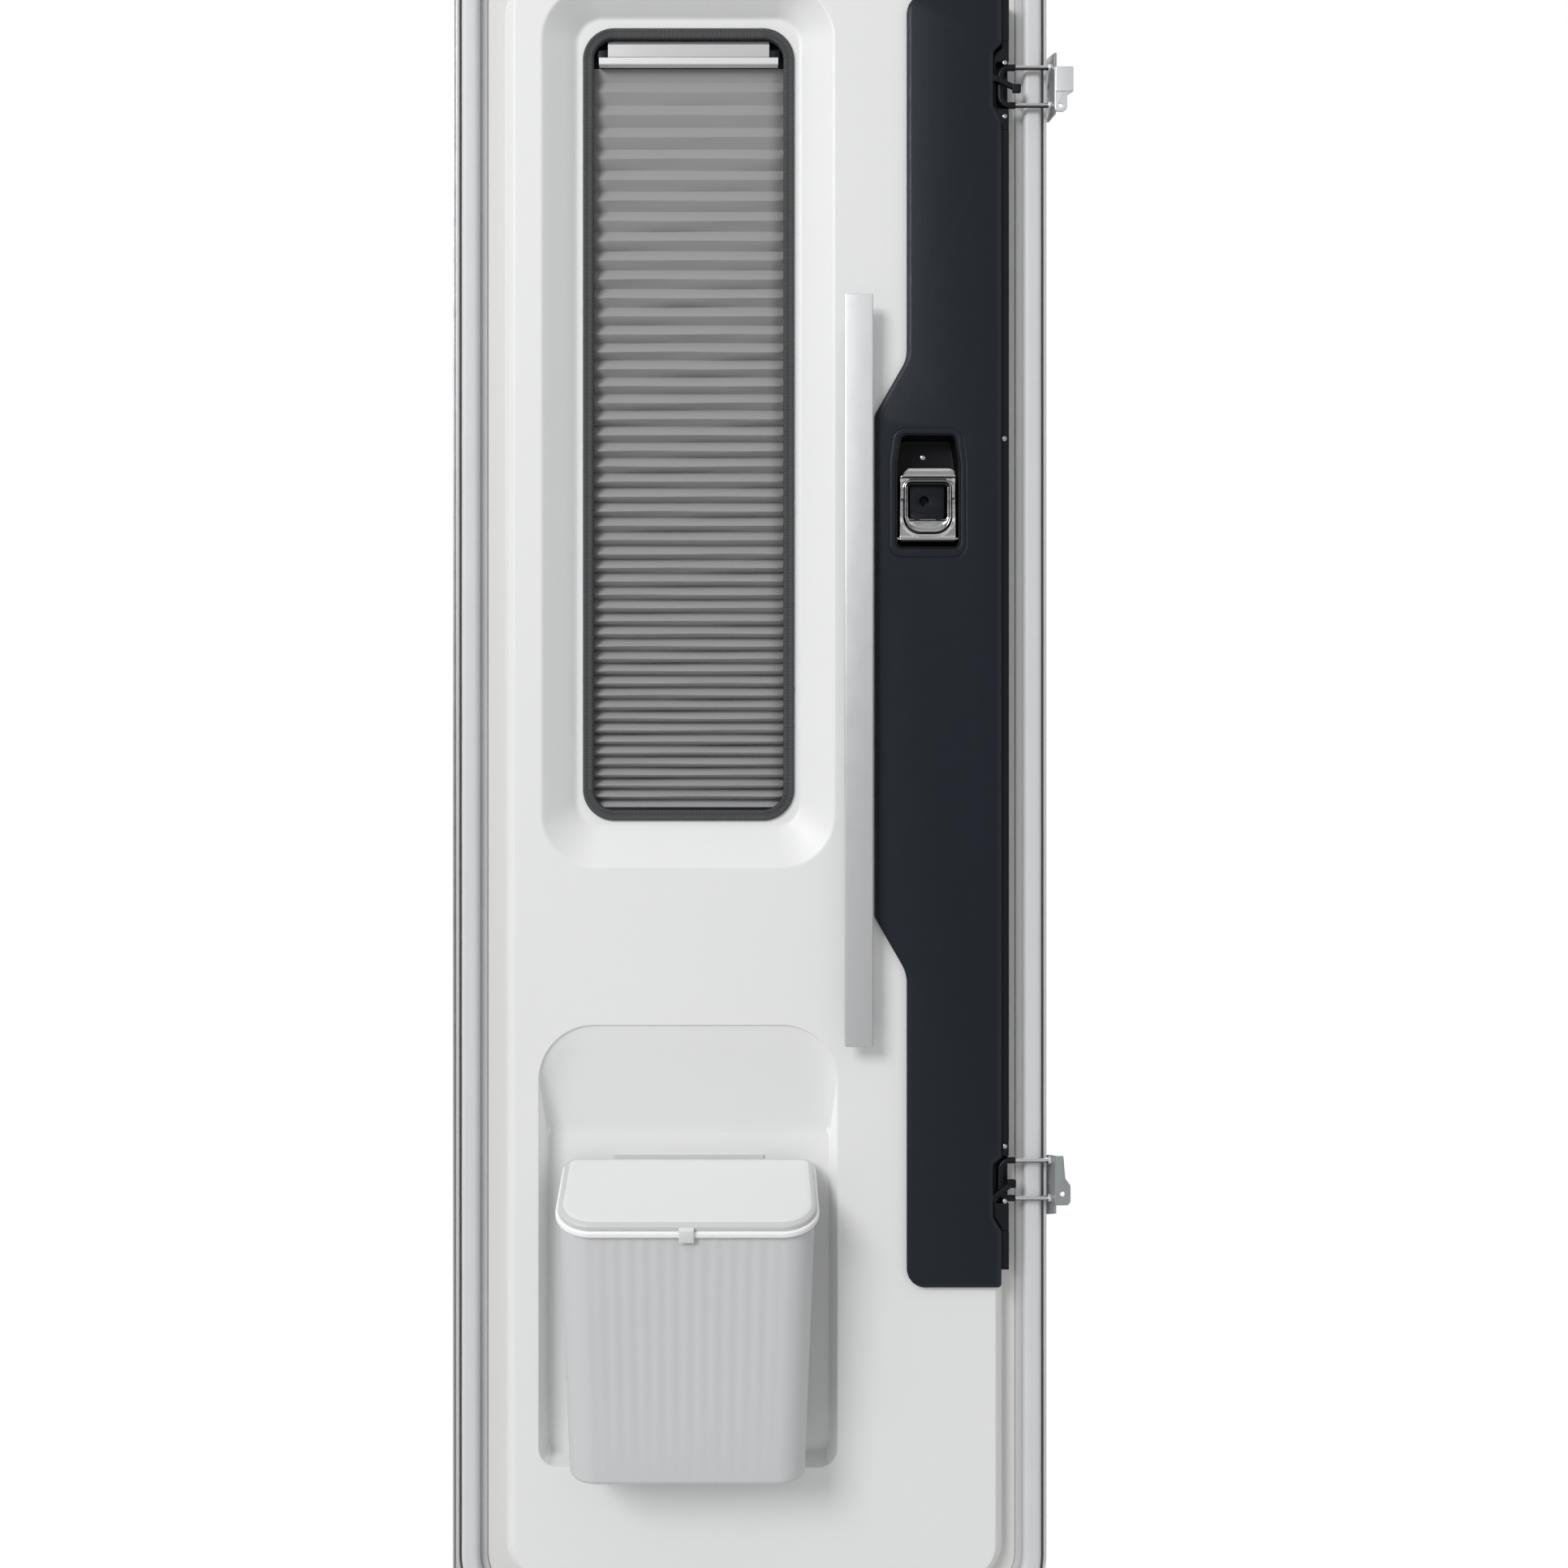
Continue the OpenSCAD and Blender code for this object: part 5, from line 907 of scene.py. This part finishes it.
def lever():
    """Pull lever: rings from its outer edge to its window, whose depth is worked out from place. A raised bead runs
    round the window and sags below it to a scoop, a groove parts off the sloping top band, and the foot is rolled."""
    x0, x1, z0, z1 = CUP_X - 30.5, CUP_X + 30.5, 253.0, 333.5
    outer = framed(x0, x1, z0, z1, (8.0, 10.0, 2.5, 2.5), cut=(1,), n=8, m=40)
    inner = framed(CUP_X - 21.2, CUP_X + 21.2, 278.2, 315.8, (3.5, 3.5, 3.5, 3.5), n=8, m=40)
    t = np.concatenate([[0.0, 0.008, 0.02, 0.04, 0.07], np.linspace(0.1, 0.92, 62), [0.95, 0.97, 0.985, 1.0]])
    flat = outer[None] + (inner - outer)[None] * t[:, None, None]
    x, z = flat[..., 0], flat[..., 1]
    edge = np.linalg.norm(flat - outer[None], axis=2)
    gap = np.linalg.norm(flat - inner[None], axis=2)
    bead = from_frame(x, z, CUP_X - 24.3, CUP_X + 24.3, 264.6, 319.0, 6.5, 17.0)
    y = -37.5 + 2.1 * smooth(z, 322.6, 333.0)
    y = y + 0.9 * np.exp(-((z - 322.2) / 0.8) ** 2) - 0.6 * np.exp(-((z - 324.8) / 1.3) ** 2)
    y = y + 2.2 * smooth(-bead, 1.0, 9.0) * smooth(278.2 - z, -0.5, 3.0) + 1.0 * smooth(-bead, 0.5, 2.6)
    y = y - 1.45 * np.exp(-(bead / 1.25) ** 2) + 0.35 * np.exp(-((bead - 2.4) / 0.8) ** 2)
    y = y + 0.5 * smooth(bead, 1.6, 3.2) * (1 - smooth(bead, 3.4, 6.0)) * (z < 300)
    y = y - 0.9 * np.exp(-((z - 256.2) / 1.6) ** 2)
    y = y + 1.6 * (1 - (edge / 1.5).clip(0, 1)) ** 2 + 0.8 * (1 - (gap / 0.9).clip(0, 1)) ** 2
    y = y.clip(-38.95, -35.3)
    back = -34.9
    rings = np.concatenate([level(outer, back)[None], np.stack([x, y, z], 2), level(inner, back)[None]])
    Surface().grid(rings).plate(back, outer, [inner], flip=True).make(
        "lever_ring", "chrome", "lever_chrome", ["inner_lever"], body="lever", sharp=48)


lever()
barrel = turned((CUP_X - 30.5, -32.8, 257.5), "+X", [(3.8, 0.0), (4.2, 0.4), (4.2, 60.6), (3.8, 61.0)])
barrel.make("lever_barrel", "chrome", "lever_chrome", body="lever")


def handle_cup():
    """Cup of the handle: a rolled rim, drafted walls and a floor joined by a round fillet."""
    walls = stepped(cup_points(2.0), [(0.0, -14.0), (0.0, -40.4), (0.25, -40.75), (0.7, -40.9), (1.4, -40.9),
                                      (1.85, -40.7), (2.0, -40.2), (2.1, -20.5), (2.5, -18.4), (3.6, -16.6),
                                      (5.4, -16.0)])
    Surface().grid(walls).plate(-16.0, walls[-1]).plate(-14.0, walls[0], flip=True).make(
        "cup_shell", "cup", "cup_black", ["handle_cup"])


def handle_block():
    """Block behind the lever's window: rolled edges, a blind round hole and a ledge across its lower half."""
    cx, cz, top = 514.7, 299.0, -30.9
    outline = framed(CUP_X - 19, CUP_X + 19, 271.0, 321.0, (2.5,) * 4, n=5, m=8)
    hole = circle(cx, cz, 5.3, 36)
    p = carried(outline, [(0.0, -16.0), (0.0, top + 1.0)] + ringed((1.0, top + 1.0, 1.0), 180, 270, 4))
    q = carried(hole, [(-0.6, top), (-0.2, top + 0.15), (0.0, top + 0.6), (0.0, -22.5), (1.0, -21.6), (4.9, -21.2)])
    s = Surface().grid(p).grid(q, flip=True).lid(q[-1])
    s.plate(top, p[-1], [q[0]])
    s.plate(-16.0, outline, flip=True)
    s.make("block_body", "block", "block_black", ["handle_block"], sharp=45)
    ledge = bar_x(corner_arcs([(top - 1.6, 278.5, 0.6), (top + 2, 277.0, 0.6), (top + 2, 286.2, 0.5),
                               (top - 0.9, 285.6, 0.7)], 4), CUP_X - 17.5, CUP_X + 17.5, 0.6)
    ledge.make("block_ledge", "block", "block_black")


handle_cup()
handle_block()
pan_screw("cup_screw", 515.4, -16.1, 349.3, 2.9)


# ---------------------------------------------------------------- keepers
def side_plate(points, x0, x1, roll, holes=()):
    """Plate lying across X: outline given as (y, z), with rolled edges on both of its faces."""
    rings = [corner_arcs(moved_in(points, roll), 4), *holes]
    s = Surface().grid(np.array([level(corner_arcs(moved_in(points, d), 4), x, 0)
                                 for x, d in rolled_ends(x0, x1, roll)]))
    for x in (x0, x1):
        s.plate(x, rings[0], rings[1:], axis=0)
    for h in holes:
        s.grid(np.stack([level(h, x0, 0), level(h, x1, 0)]))
    return s


FRONTS = {
    "upper": ([(0, 13.1, 0.5), (0, -34.9, 4), (13.4, -34.9, 6), (13.4, -17, 0.6), (20, -13, 0.6), (20, 13.1, 1.5)],
              (6.4, -28.4)),
    "lower": ([(0, 29.6, 0.6), (0, -23.4, 0.6), (17, -23.4, 5), (17, -2, 6), (11.4, 5.4, 4), (9.4, 29.6, 1)],
              (8.4, -11.3))}
SIDES = {
    "upper": ([(-46.0, 29.0), (-8.0, 41.0), (-2.0, 36.0), (-2.0, -25.0), (-8.0, -29.0), (-42.0, -35.0),
               (-46.0, -30.8)], 7.0),
    "lower": ([(-46.0, 29.6), (-8.0, 21.0), (-2.0, 17.0), (-2.0, -42.0), (-6.0, -45.0), (-44.5, -33.3),
               (-44.5, -25.0), (-46.0, -23.1)], -7.0)}


def bracket(name, zc):
    """Keeper's bracket: a side plate and a front plate bent from one sheet, with punched holes."""
    points, hole_z = SIDES[name]
    pts = [(y, zc + z, 1.2) for y, z in points[::-1]]
    wall = side_plate(pts, KEEPER_X, KEEPER_X + 2.5, 0.35, [
        circle(-16.0, zc + hole_z, 2.6), circle(LOOP_Y, zc + LOOP_HALF, 2.55), circle(LOOP_Y, zc - LOOP_HALF, 2.55)])
    # painted shade: the upper side plate gets a darker copy of its front plate's zinc
    metal, side, paint = ("zinc", "edge", "bracket_steel") if name == "upper" else ("dull", "dull", "bracket_dark")
    wall.make("keeper_side_" + name, side, paint, ["keeper_bracket_" + name], body="wall")
    points, (hx, hz) = FRONTS[name]
    outline = corner_arcs([(KEEPER_X + x, zc + z, r) for x, z, r in points], 6)
    front = plate_solid(outline, -48.5, -46.0, 0.8, [circle(KEEPER_X + hx, zc + hz, 2.6)])
    front.make("keeper_front_" + name, metal, paint, body="wall")
    if name == "upper":
        square = corner_arcs([(KEEPER_X + x, zc + z, r) for x, z, r in
                              ((0.9, 12.9, 0.8), (0.9, -13.6, 0.8), (19.9, -13.6, 1.2), (19.9, 12.9, 1.4))], 6)
        plate_solid(square, -49.6, -48.4, 0.5).make("keeper_square", metal, paint, body="wall")


for name, zc in LATCHES.items():
    rod = tube_solid(u_path(zc, KEEPER_X + 2.2), 2.5)
    rod.make("keeper_rod_" + name, "steel", "rod_chrome", ["keeper_loop_" + name], body="wall")
    sleeve = tube_solid(u_path(zc, LOOP_X + 16.5), 3.4, hollow=2.56)
    sleeve.make("keeper_cap_" + name, "black", "black_plastic", ["keeper_sleeve_" + name], body="wall", sharp=50)
    for leg, z in (("top", zc + LOOP_HALF), ("foot", zc - LOOP_HALF)):
        corners = [(y, z, 0.4) for y, z in arc(LOOP_Y, z, 4.2, 30, 390, 6)[:-1]]
        nut = side_plate(corners, KEEPER_X - 3.2, KEEPER_X - 0.2, 0.3)
        nut.make("keeper_nut_%s_%s" % (name, leg), "zinc", "rod_chrome", body="wall")
    bracket(name, zc)


# ---------------------------------------------------------------- latches
def housing(name, zc, k):
    """Latch housing: a rolled C-shaped plate round the loop's pocket, standing on a plain base block."""
    mid = zc - LOWER_DROP * k
    top, low, end = (18.5, -39.0, -54.0) if k else (34.0, -25.0, -41.0)
    x0, right, edge, pocket = NOTCH_X + 1.2, 606.2, EDGE_X + 0.8, 591.9
    above = ([(pocket, zc + 18.0, 3), (EDGE_X, zc + 25.4, 2), (right, zc + 25.4, 1)] if k
             else [(pocket, zc + 25.4, 3), (right, zc + 25.4, 1)])
    pts = [(x0, zc + low, 2), (edge, zc + end + 1.5, 2), (edge, mid - BASE_HALF, 0.5), (right, mid - BASE_HALF, 1),
           (right, zc - 25.4, 1), (pocket, zc - 25.4, 3), *above, (right, mid + BASE_HALF, 1),
           (edge, mid + BASE_HALF, 0.5), (edge, zc + top + 6, 1), (EDGE_X - 2, zc + top + 4, 1),
           (x0, zc + top - 2, 2)]
    face = plate_solid(corner_arcs(pts, 4), -33.5, -25.0, 0.7)
    face.make("housing_face_" + name, "black", "black_plastic", ["latch_housing_" + name])
    base = block_solid(565.2, right, -31.8 + 6.6, -12.0, mid - BASE_HALF, mid + BASE_HALF, 0.4)
    base.make("housing_base_" + name, "black", "black_plastic")
    boss = turned((CLAW_X, -32.0, zc + (-31.5 if k else 14.7)), "-Y",
                  [(5.0, -7.0), (5.0, 1.3), (4.8, 1.5), (2.4, 1.5), (2.4, 5.8), (2.0, 6.0)])
    boss.make("claw_boss_" + name, "black", "black_plastic")
    for i, dz in enumerate((36.5, -22.9) if k else (24.3, -33.8)):
        pan_screw("latch_screw_%s_%d" % (name, i), 601.8, -33.5, zc + dz, 2.3)


def claw(name, zc, k):
    """Hook: a sloping arm with a wide head part way along it and a square end over the loop, all edges rolled."""
    slope = math.radians(38.0 if k else -25.0)
    pivot = np.array([CLAW_X, zc + (-31.5 if k else 14.7)])
    d = np.array([math.cos(slope), math.sin(slope)])
    n = np.array([-d[1], d[0]])
    reach = 45.5
    tip, head = pivot + reach * d, pivot + 0.45 * reach * d
    arm = [pivot - 3 * d - 2.7 * n, tip - 2.7 * n, tip + 2.7 * n, pivot - 3 * d + 2.7 * n]
    y0, y1 = -37.2, -33.4
    obs = [plate_solid(corner_arcs([(a[0], a[1], 0.8) for a in arm], 4), y0 + 0.35, y1, 0.7, n=3)]
    for c, w, h in ((head, 4.0, 3.2), (tip, 4.5, 4.5)):
        obs.append(plate_solid(corner_arcs([(c[0] - w, c[1] - h, 1), (c[0] + w, c[1] - h, 1), (c[0] + w, c[1] + h, 1),
                                            (c[0] - w, c[1] + h, 1)], 4), y0, y1, 0.8, n=3))
    obs = [o.make("claw_hook_%s_%d" % (name, i), "black", body="claw_" + name) for i, o in enumerate(obs)]
    hook = obs[0]
    combined(hook, "UNION", obs[1:])
    hook.data.shade_smooth()
    hook.data.set_sharp_from_angle(angle=math.radians(32))
    hook.name = hook.data.name = "claw_hook_" + name
    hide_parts("claw_" + name)
    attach(hook, "claw_" + name)


for k, (name, zc) in enumerate(LATCHES.items()):
    housing(name, zc, k)
    claw(name, zc, k)


# ---------------------------------------------------------------- bin
def tilt(p):
    """Turns points about the lid's rear edge by the lid's slope and moves them to the bin's back."""
    a = math.radians(LID_SLOPE)
    y, z = p[..., 1].copy(), p[..., 2].copy()
    q = p.copy()
    q[..., 0] += BIN_X
    q[..., 1] = BIN_BACK + y * math.cos(a) - z * math.sin(a)
    q[..., 2] = LID_Z + y * math.sin(a) + z * math.cos(a)
    return q


def stacked(outline, profile):
    """Plan outline stacked upwards: each ring is the outline moved inwards by inset, at height h."""
    prof = np.array(profile, float)
    near, far = np.minimum(prof[:, 0], 9.0), (prof[:, 0] - 9.0).clip(0)
    flat = outline[None] - outward(outline)[None] * near[:, None, None]
    mid = (outline.max(0) + outline.min(0)) / 2
    half = (outline.max(0) - outline.min(0)) / 2 - 9.0
    flat = mid + (flat - mid) * (1 - far[:, None, None] / half)
    return np.stack([flat[..., 0], flat[..., 1], np.repeat(prof[:, 1:], len(outline), 1)], 2)


LID_PLAN = rounded(-135.0, 135.0, -119.0, 0.0, 12.0, 38.0, n=16)


def bin_lid():
    """Lid: its side rises to a rolled rim, then the top swells to a low crown; a small tab hooks over the ring.
    Behind the pivots the underside follows a circle about them, so that the lid turns clear of the ring."""
    roll = [(2.2 - 2.2 * math.cos(t), -4.4 + 2.2 * math.sin(t)) for t in np.radians(np.linspace(0, 62, 6))]
    prof = [(6.0, -8.0), (0.4, -8.0), (0.0, -7.6), (0.0, -5.0)] + roll + [
        (3.0, -1.35), (5.5, -0.75), (7.6, -0.3), (8.6, -0.12), (9.0, -0.05), (10.0, 0.0)]
    p = stacked(LID_PLAN, prof)
    behind = p[..., 1] - LID_PIVOT[0]
    round_nose = LID_PIVOT[1] - np.sqrt((LID_NOSE ** 2 - behind ** 2).clip(0))
    p[..., 2] = np.where(behind > 0, np.maximum(p[..., 2], round_nose), p[..., 2])
    ob = capped(tilt(p)).make("lid_shell", "lid", "lid_white", ["bin_lid"], body="bin_lid")
    a = math.radians(LID_SLOPE)
    # painted shade on the lid's side and lip
    second_finish_or_painted_light(ob, "lip", lambda c: (c[:, 2] - LID_Z) * math.cos(a) - (c[:, 1] - BIN_BACK) * math.sin(a) < -0.9)
    for name, box, r in (("lid_tab", (-124.7, -121.9, -18.9, -3.6), 0.8),
                         ("lid_tab_link", (-124.2, -117.5, -5.9, -3.7), 0.6)):
        s = block_solid(-7.8, 7.8, *box, r)
        s.points = [tilt(q) for q in s.points]
        s.make(name, "lid", "lid_white", body="bin_lid")


def bin_ring():
    """Rim ring: a rounded band carried round the lid's plan."""
    outline = rounded(-138.0, 138.0, -122.0, 3.0, 15.0, 41.0, n=16)
    prof = [(11.0, -14.7), (1.0, -14.7), (0.2, -14.0), (0.0, -12.6), (0.0, -10.4), (0.2, -9.0), (1.0, -8.3),
            (11.0, -8.3)]
    band = Surface().grid(tilt(stacked(outline, prof)), closed_u=True)
    # the ring's brighter white is painted light
    band.make("rim_ring", "ring", "bin_white", ["bin_ring"], body="bin")


def bin_body():
    """Tapered pail: a plan outline with soft upright flutes on its front, narrower and leaning back towards the
    foot, and a small roll where the walls meet the floor."""
    outline = divided(rounded(-135.0, 135.0, -106.5, -3.0, 12.0, 34.0, n=14), 2.5)
    n = outward(outline)
    front = (-n[:, 1]).clip(0) ** 2
    ease = ((112.0 - np.abs(outline[:, 0])) / 30.0).clip(0, 1)
    flute = 0.34 * np.cos(outline[:, 0] * 2 * np.pi / 15.3) * front * ease
    rim = LID_Z + outline[:, 1] * math.tan(math.radians(LID_SLOPE)) - 15.9
    foot, r = -731.0, 6.0

    def shell(inset, foot_z):
        turn = np.radians(np.linspace(0, 90, 9))
        rings = [(foot_z + r - r * math.cos(a) + 0 * rim, r - r * math.sin(a)) for a in turn]
        rings += [(foot_z + r + (rim - foot_z - r) * a, 0.0) for a in np.linspace(0, 1, 12)[1:]]
        out = []
        for z, rolled_in in rings:
            up = ((z - foot) / (LID_Z - 8 - foot)).clip(0, 1)
            plan = np.stack([outline[:, 0] * (0.915 + 0.085 * up),
                             -3.0 + (outline[:, 1] + 3.0) * (0.913 + 0.087 * up)], 1)
            depth = inset + rolled_in - flute * (up * 3).clip(0, 1) * ((1 - up) * 12).clip(0, 1)
            flat = plan - n * depth[:, None]
            out.append(np.stack([flat[:, 0] + BIN_X, flat[:, 1] + BIN_BACK, z], 1))
        return np.array(out)

    outer, inner = shell(0.35, foot), shell(2.6, foot + 2.4)
    s = Surface().grid(outer).grid(inner, flip=True).lid(outer[0]).lid(inner[0], flip=True)
    s.grid(np.stack([outer[-1], inner[-1]]), flip=True)
    s.make("pail", "bin", "bin_silver", ["bin_body"], body="bin", sharp=50)


bin_lid()
bin_ring()
bin_body()


# ---------------------------------------------------------------- stage, light, camera
def shown_white(mat, level):
    """Stage material: plain white to the camera, and a dimmer pale surface to every other ray."""
    tree = mat.node_tree
    bsdf = tree.nodes["Principled BSDF"]
    glow = put(tree, "ShaderNodeEmission", {"Color": (1, 1, 1, 1), "Strength": level})
    ray = put(tree, "ShaderNodeLightPath")
    mix = put(tree, "ShaderNodeMixShader", {0: ray.outputs["Is Camera Ray"], 1: bsdf.outputs[0], 2: glow.outputs[0]})
    tree.links.new(mix.outputs[0], tree.nodes["Material Output"].inputs["Surface"])
    return mat


floor = bpy.data.meshes.new("floor")
floor.from_pydata([(-5, -5, -1.3), (6, -5, -1.3), (6, 5, -1.3), (-5, 5, -1.3)], [], [(0, 1, 2, 3)])
floor_ob = bpy.data.objects.new("floor", floor)
bpy.context.scene.collection.objects.link(floor_ob)
floor.materials.append(shown_white(finish("floor_pale", (0.55, 0.55, 0.55), 0.7, 0.02), 1.0))


def lamp(name, place, target, size, power):
    """Large soft area light aimed at a point."""
    data = bpy.data.lights.new(name, "AREA")
    data.shape, data.size, data.size_y, data.energy = "RECTANGLE", size[0], size[1], power
    ob = bpy.data.objects.new(name, data)
    d = np.array(place) - np.array(target)
    ob.location = place
    ob.rotation_euler = (math.acos(d[2] / np.linalg.norm(d)), 0.0, math.atan2(d[1], d[0]) + math.pi / 2)
    bpy.context.scene.collection.objects.link(ob)


lamp("key", (-3.8, -5.6, 3.7), (0.3, 0.0, -0.1), (2.9, 2.9), 345)
lamp("back", (0.4, 2.6, 1.8), (0.3, 0.0, 0.0), (2.4, 2.0), 45)

# The camera sees plain white, polished metal sees dark and light strips, and the rest sees a soft grey
world = bpy.data.worlds.new("studio")
world.use_nodes = True
tree = world.node_tree
direction = put(tree, "ShaderNodeTexCoord").outputs["Generated"]
upward = calc(tree, "MULTIPLY_ADD", put(tree, "ShaderNodeSeparateXYZ", {0: direction}).outputs["Z"], 0.5, 0.5)
soft = ramp_over(tree, upward, [(0.0, 0.42), (0.40, 0.44), (0.5, 0.40), (0.60, 0.50), (0.75, 0.64), (1.0, 0.72)])
crisp = ramp_over(tree, upward, [(0.0, 0.10), (0.26, 0.10), (0.36, 0.55), (0.45, 0.30), (0.52, 0.34), (0.555, 0.85),
                                (0.575, 0.30), (0.61, 0.38), (0.635, 1.00), (0.665, 0.08), (0.73, 0.90), (0.82, 0.25),
                                (1.0, 0.60)])
ray = put(tree, "ShaderNodeLightPath")
seen = put(tree, "ShaderNodeMixRGB", {"Fac": ray.outputs["Is Glossy Ray"], "Color1": soft, "Color2": crisp})
plain = tree.nodes["Background"]
tree.links.new(seen.outputs[0], plain.inputs["Color"])
white = put(tree, "ShaderNodeBackground", {"Color": (1, 1, 1, 1), "Strength": 1.0})
mix = put(tree, "ShaderNodeMixShader", {0: ray.outputs["Is Camera Ray"], 1: plain.outputs[0], 2: white.outputs[0]})
tree.links.new(mix.outputs[0], tree.nodes["World Output"].inputs["Surface"])
scene = bpy.context.scene
scene.world = world
scene.view_settings.view_transform = "Standard"

cam = bpy.data.cameras.new("camera")
# The picture is 1932 pixels wide, 0.88 mm each on the liner's face, which lies 1600 mm in front of the camera
PICTURE, PIXEL, DISTANCE, SENSOR = 1932, 0.88, 1600.0, 36.0
cam.sensor_width = SENSOR
cam.lens = SENSOR * DISTANCE / (PIXEL * PICTURE)
cam.shift_x = (PICTURE / 2 - 900) / PICTURE
cam.clip_start = 0.05
cam_ob = bpy.data.objects.new("camera", cam)
cam_ob.location = (304.5 * MM, (FACE_Y - DISTANCE) * MM, -8.0 * MM)
cam_ob.rotation_euler = (math.radians(90), 0.0, 0.0)
scene.collection.objects.link(cam_ob)
scene.camera = cam_ob
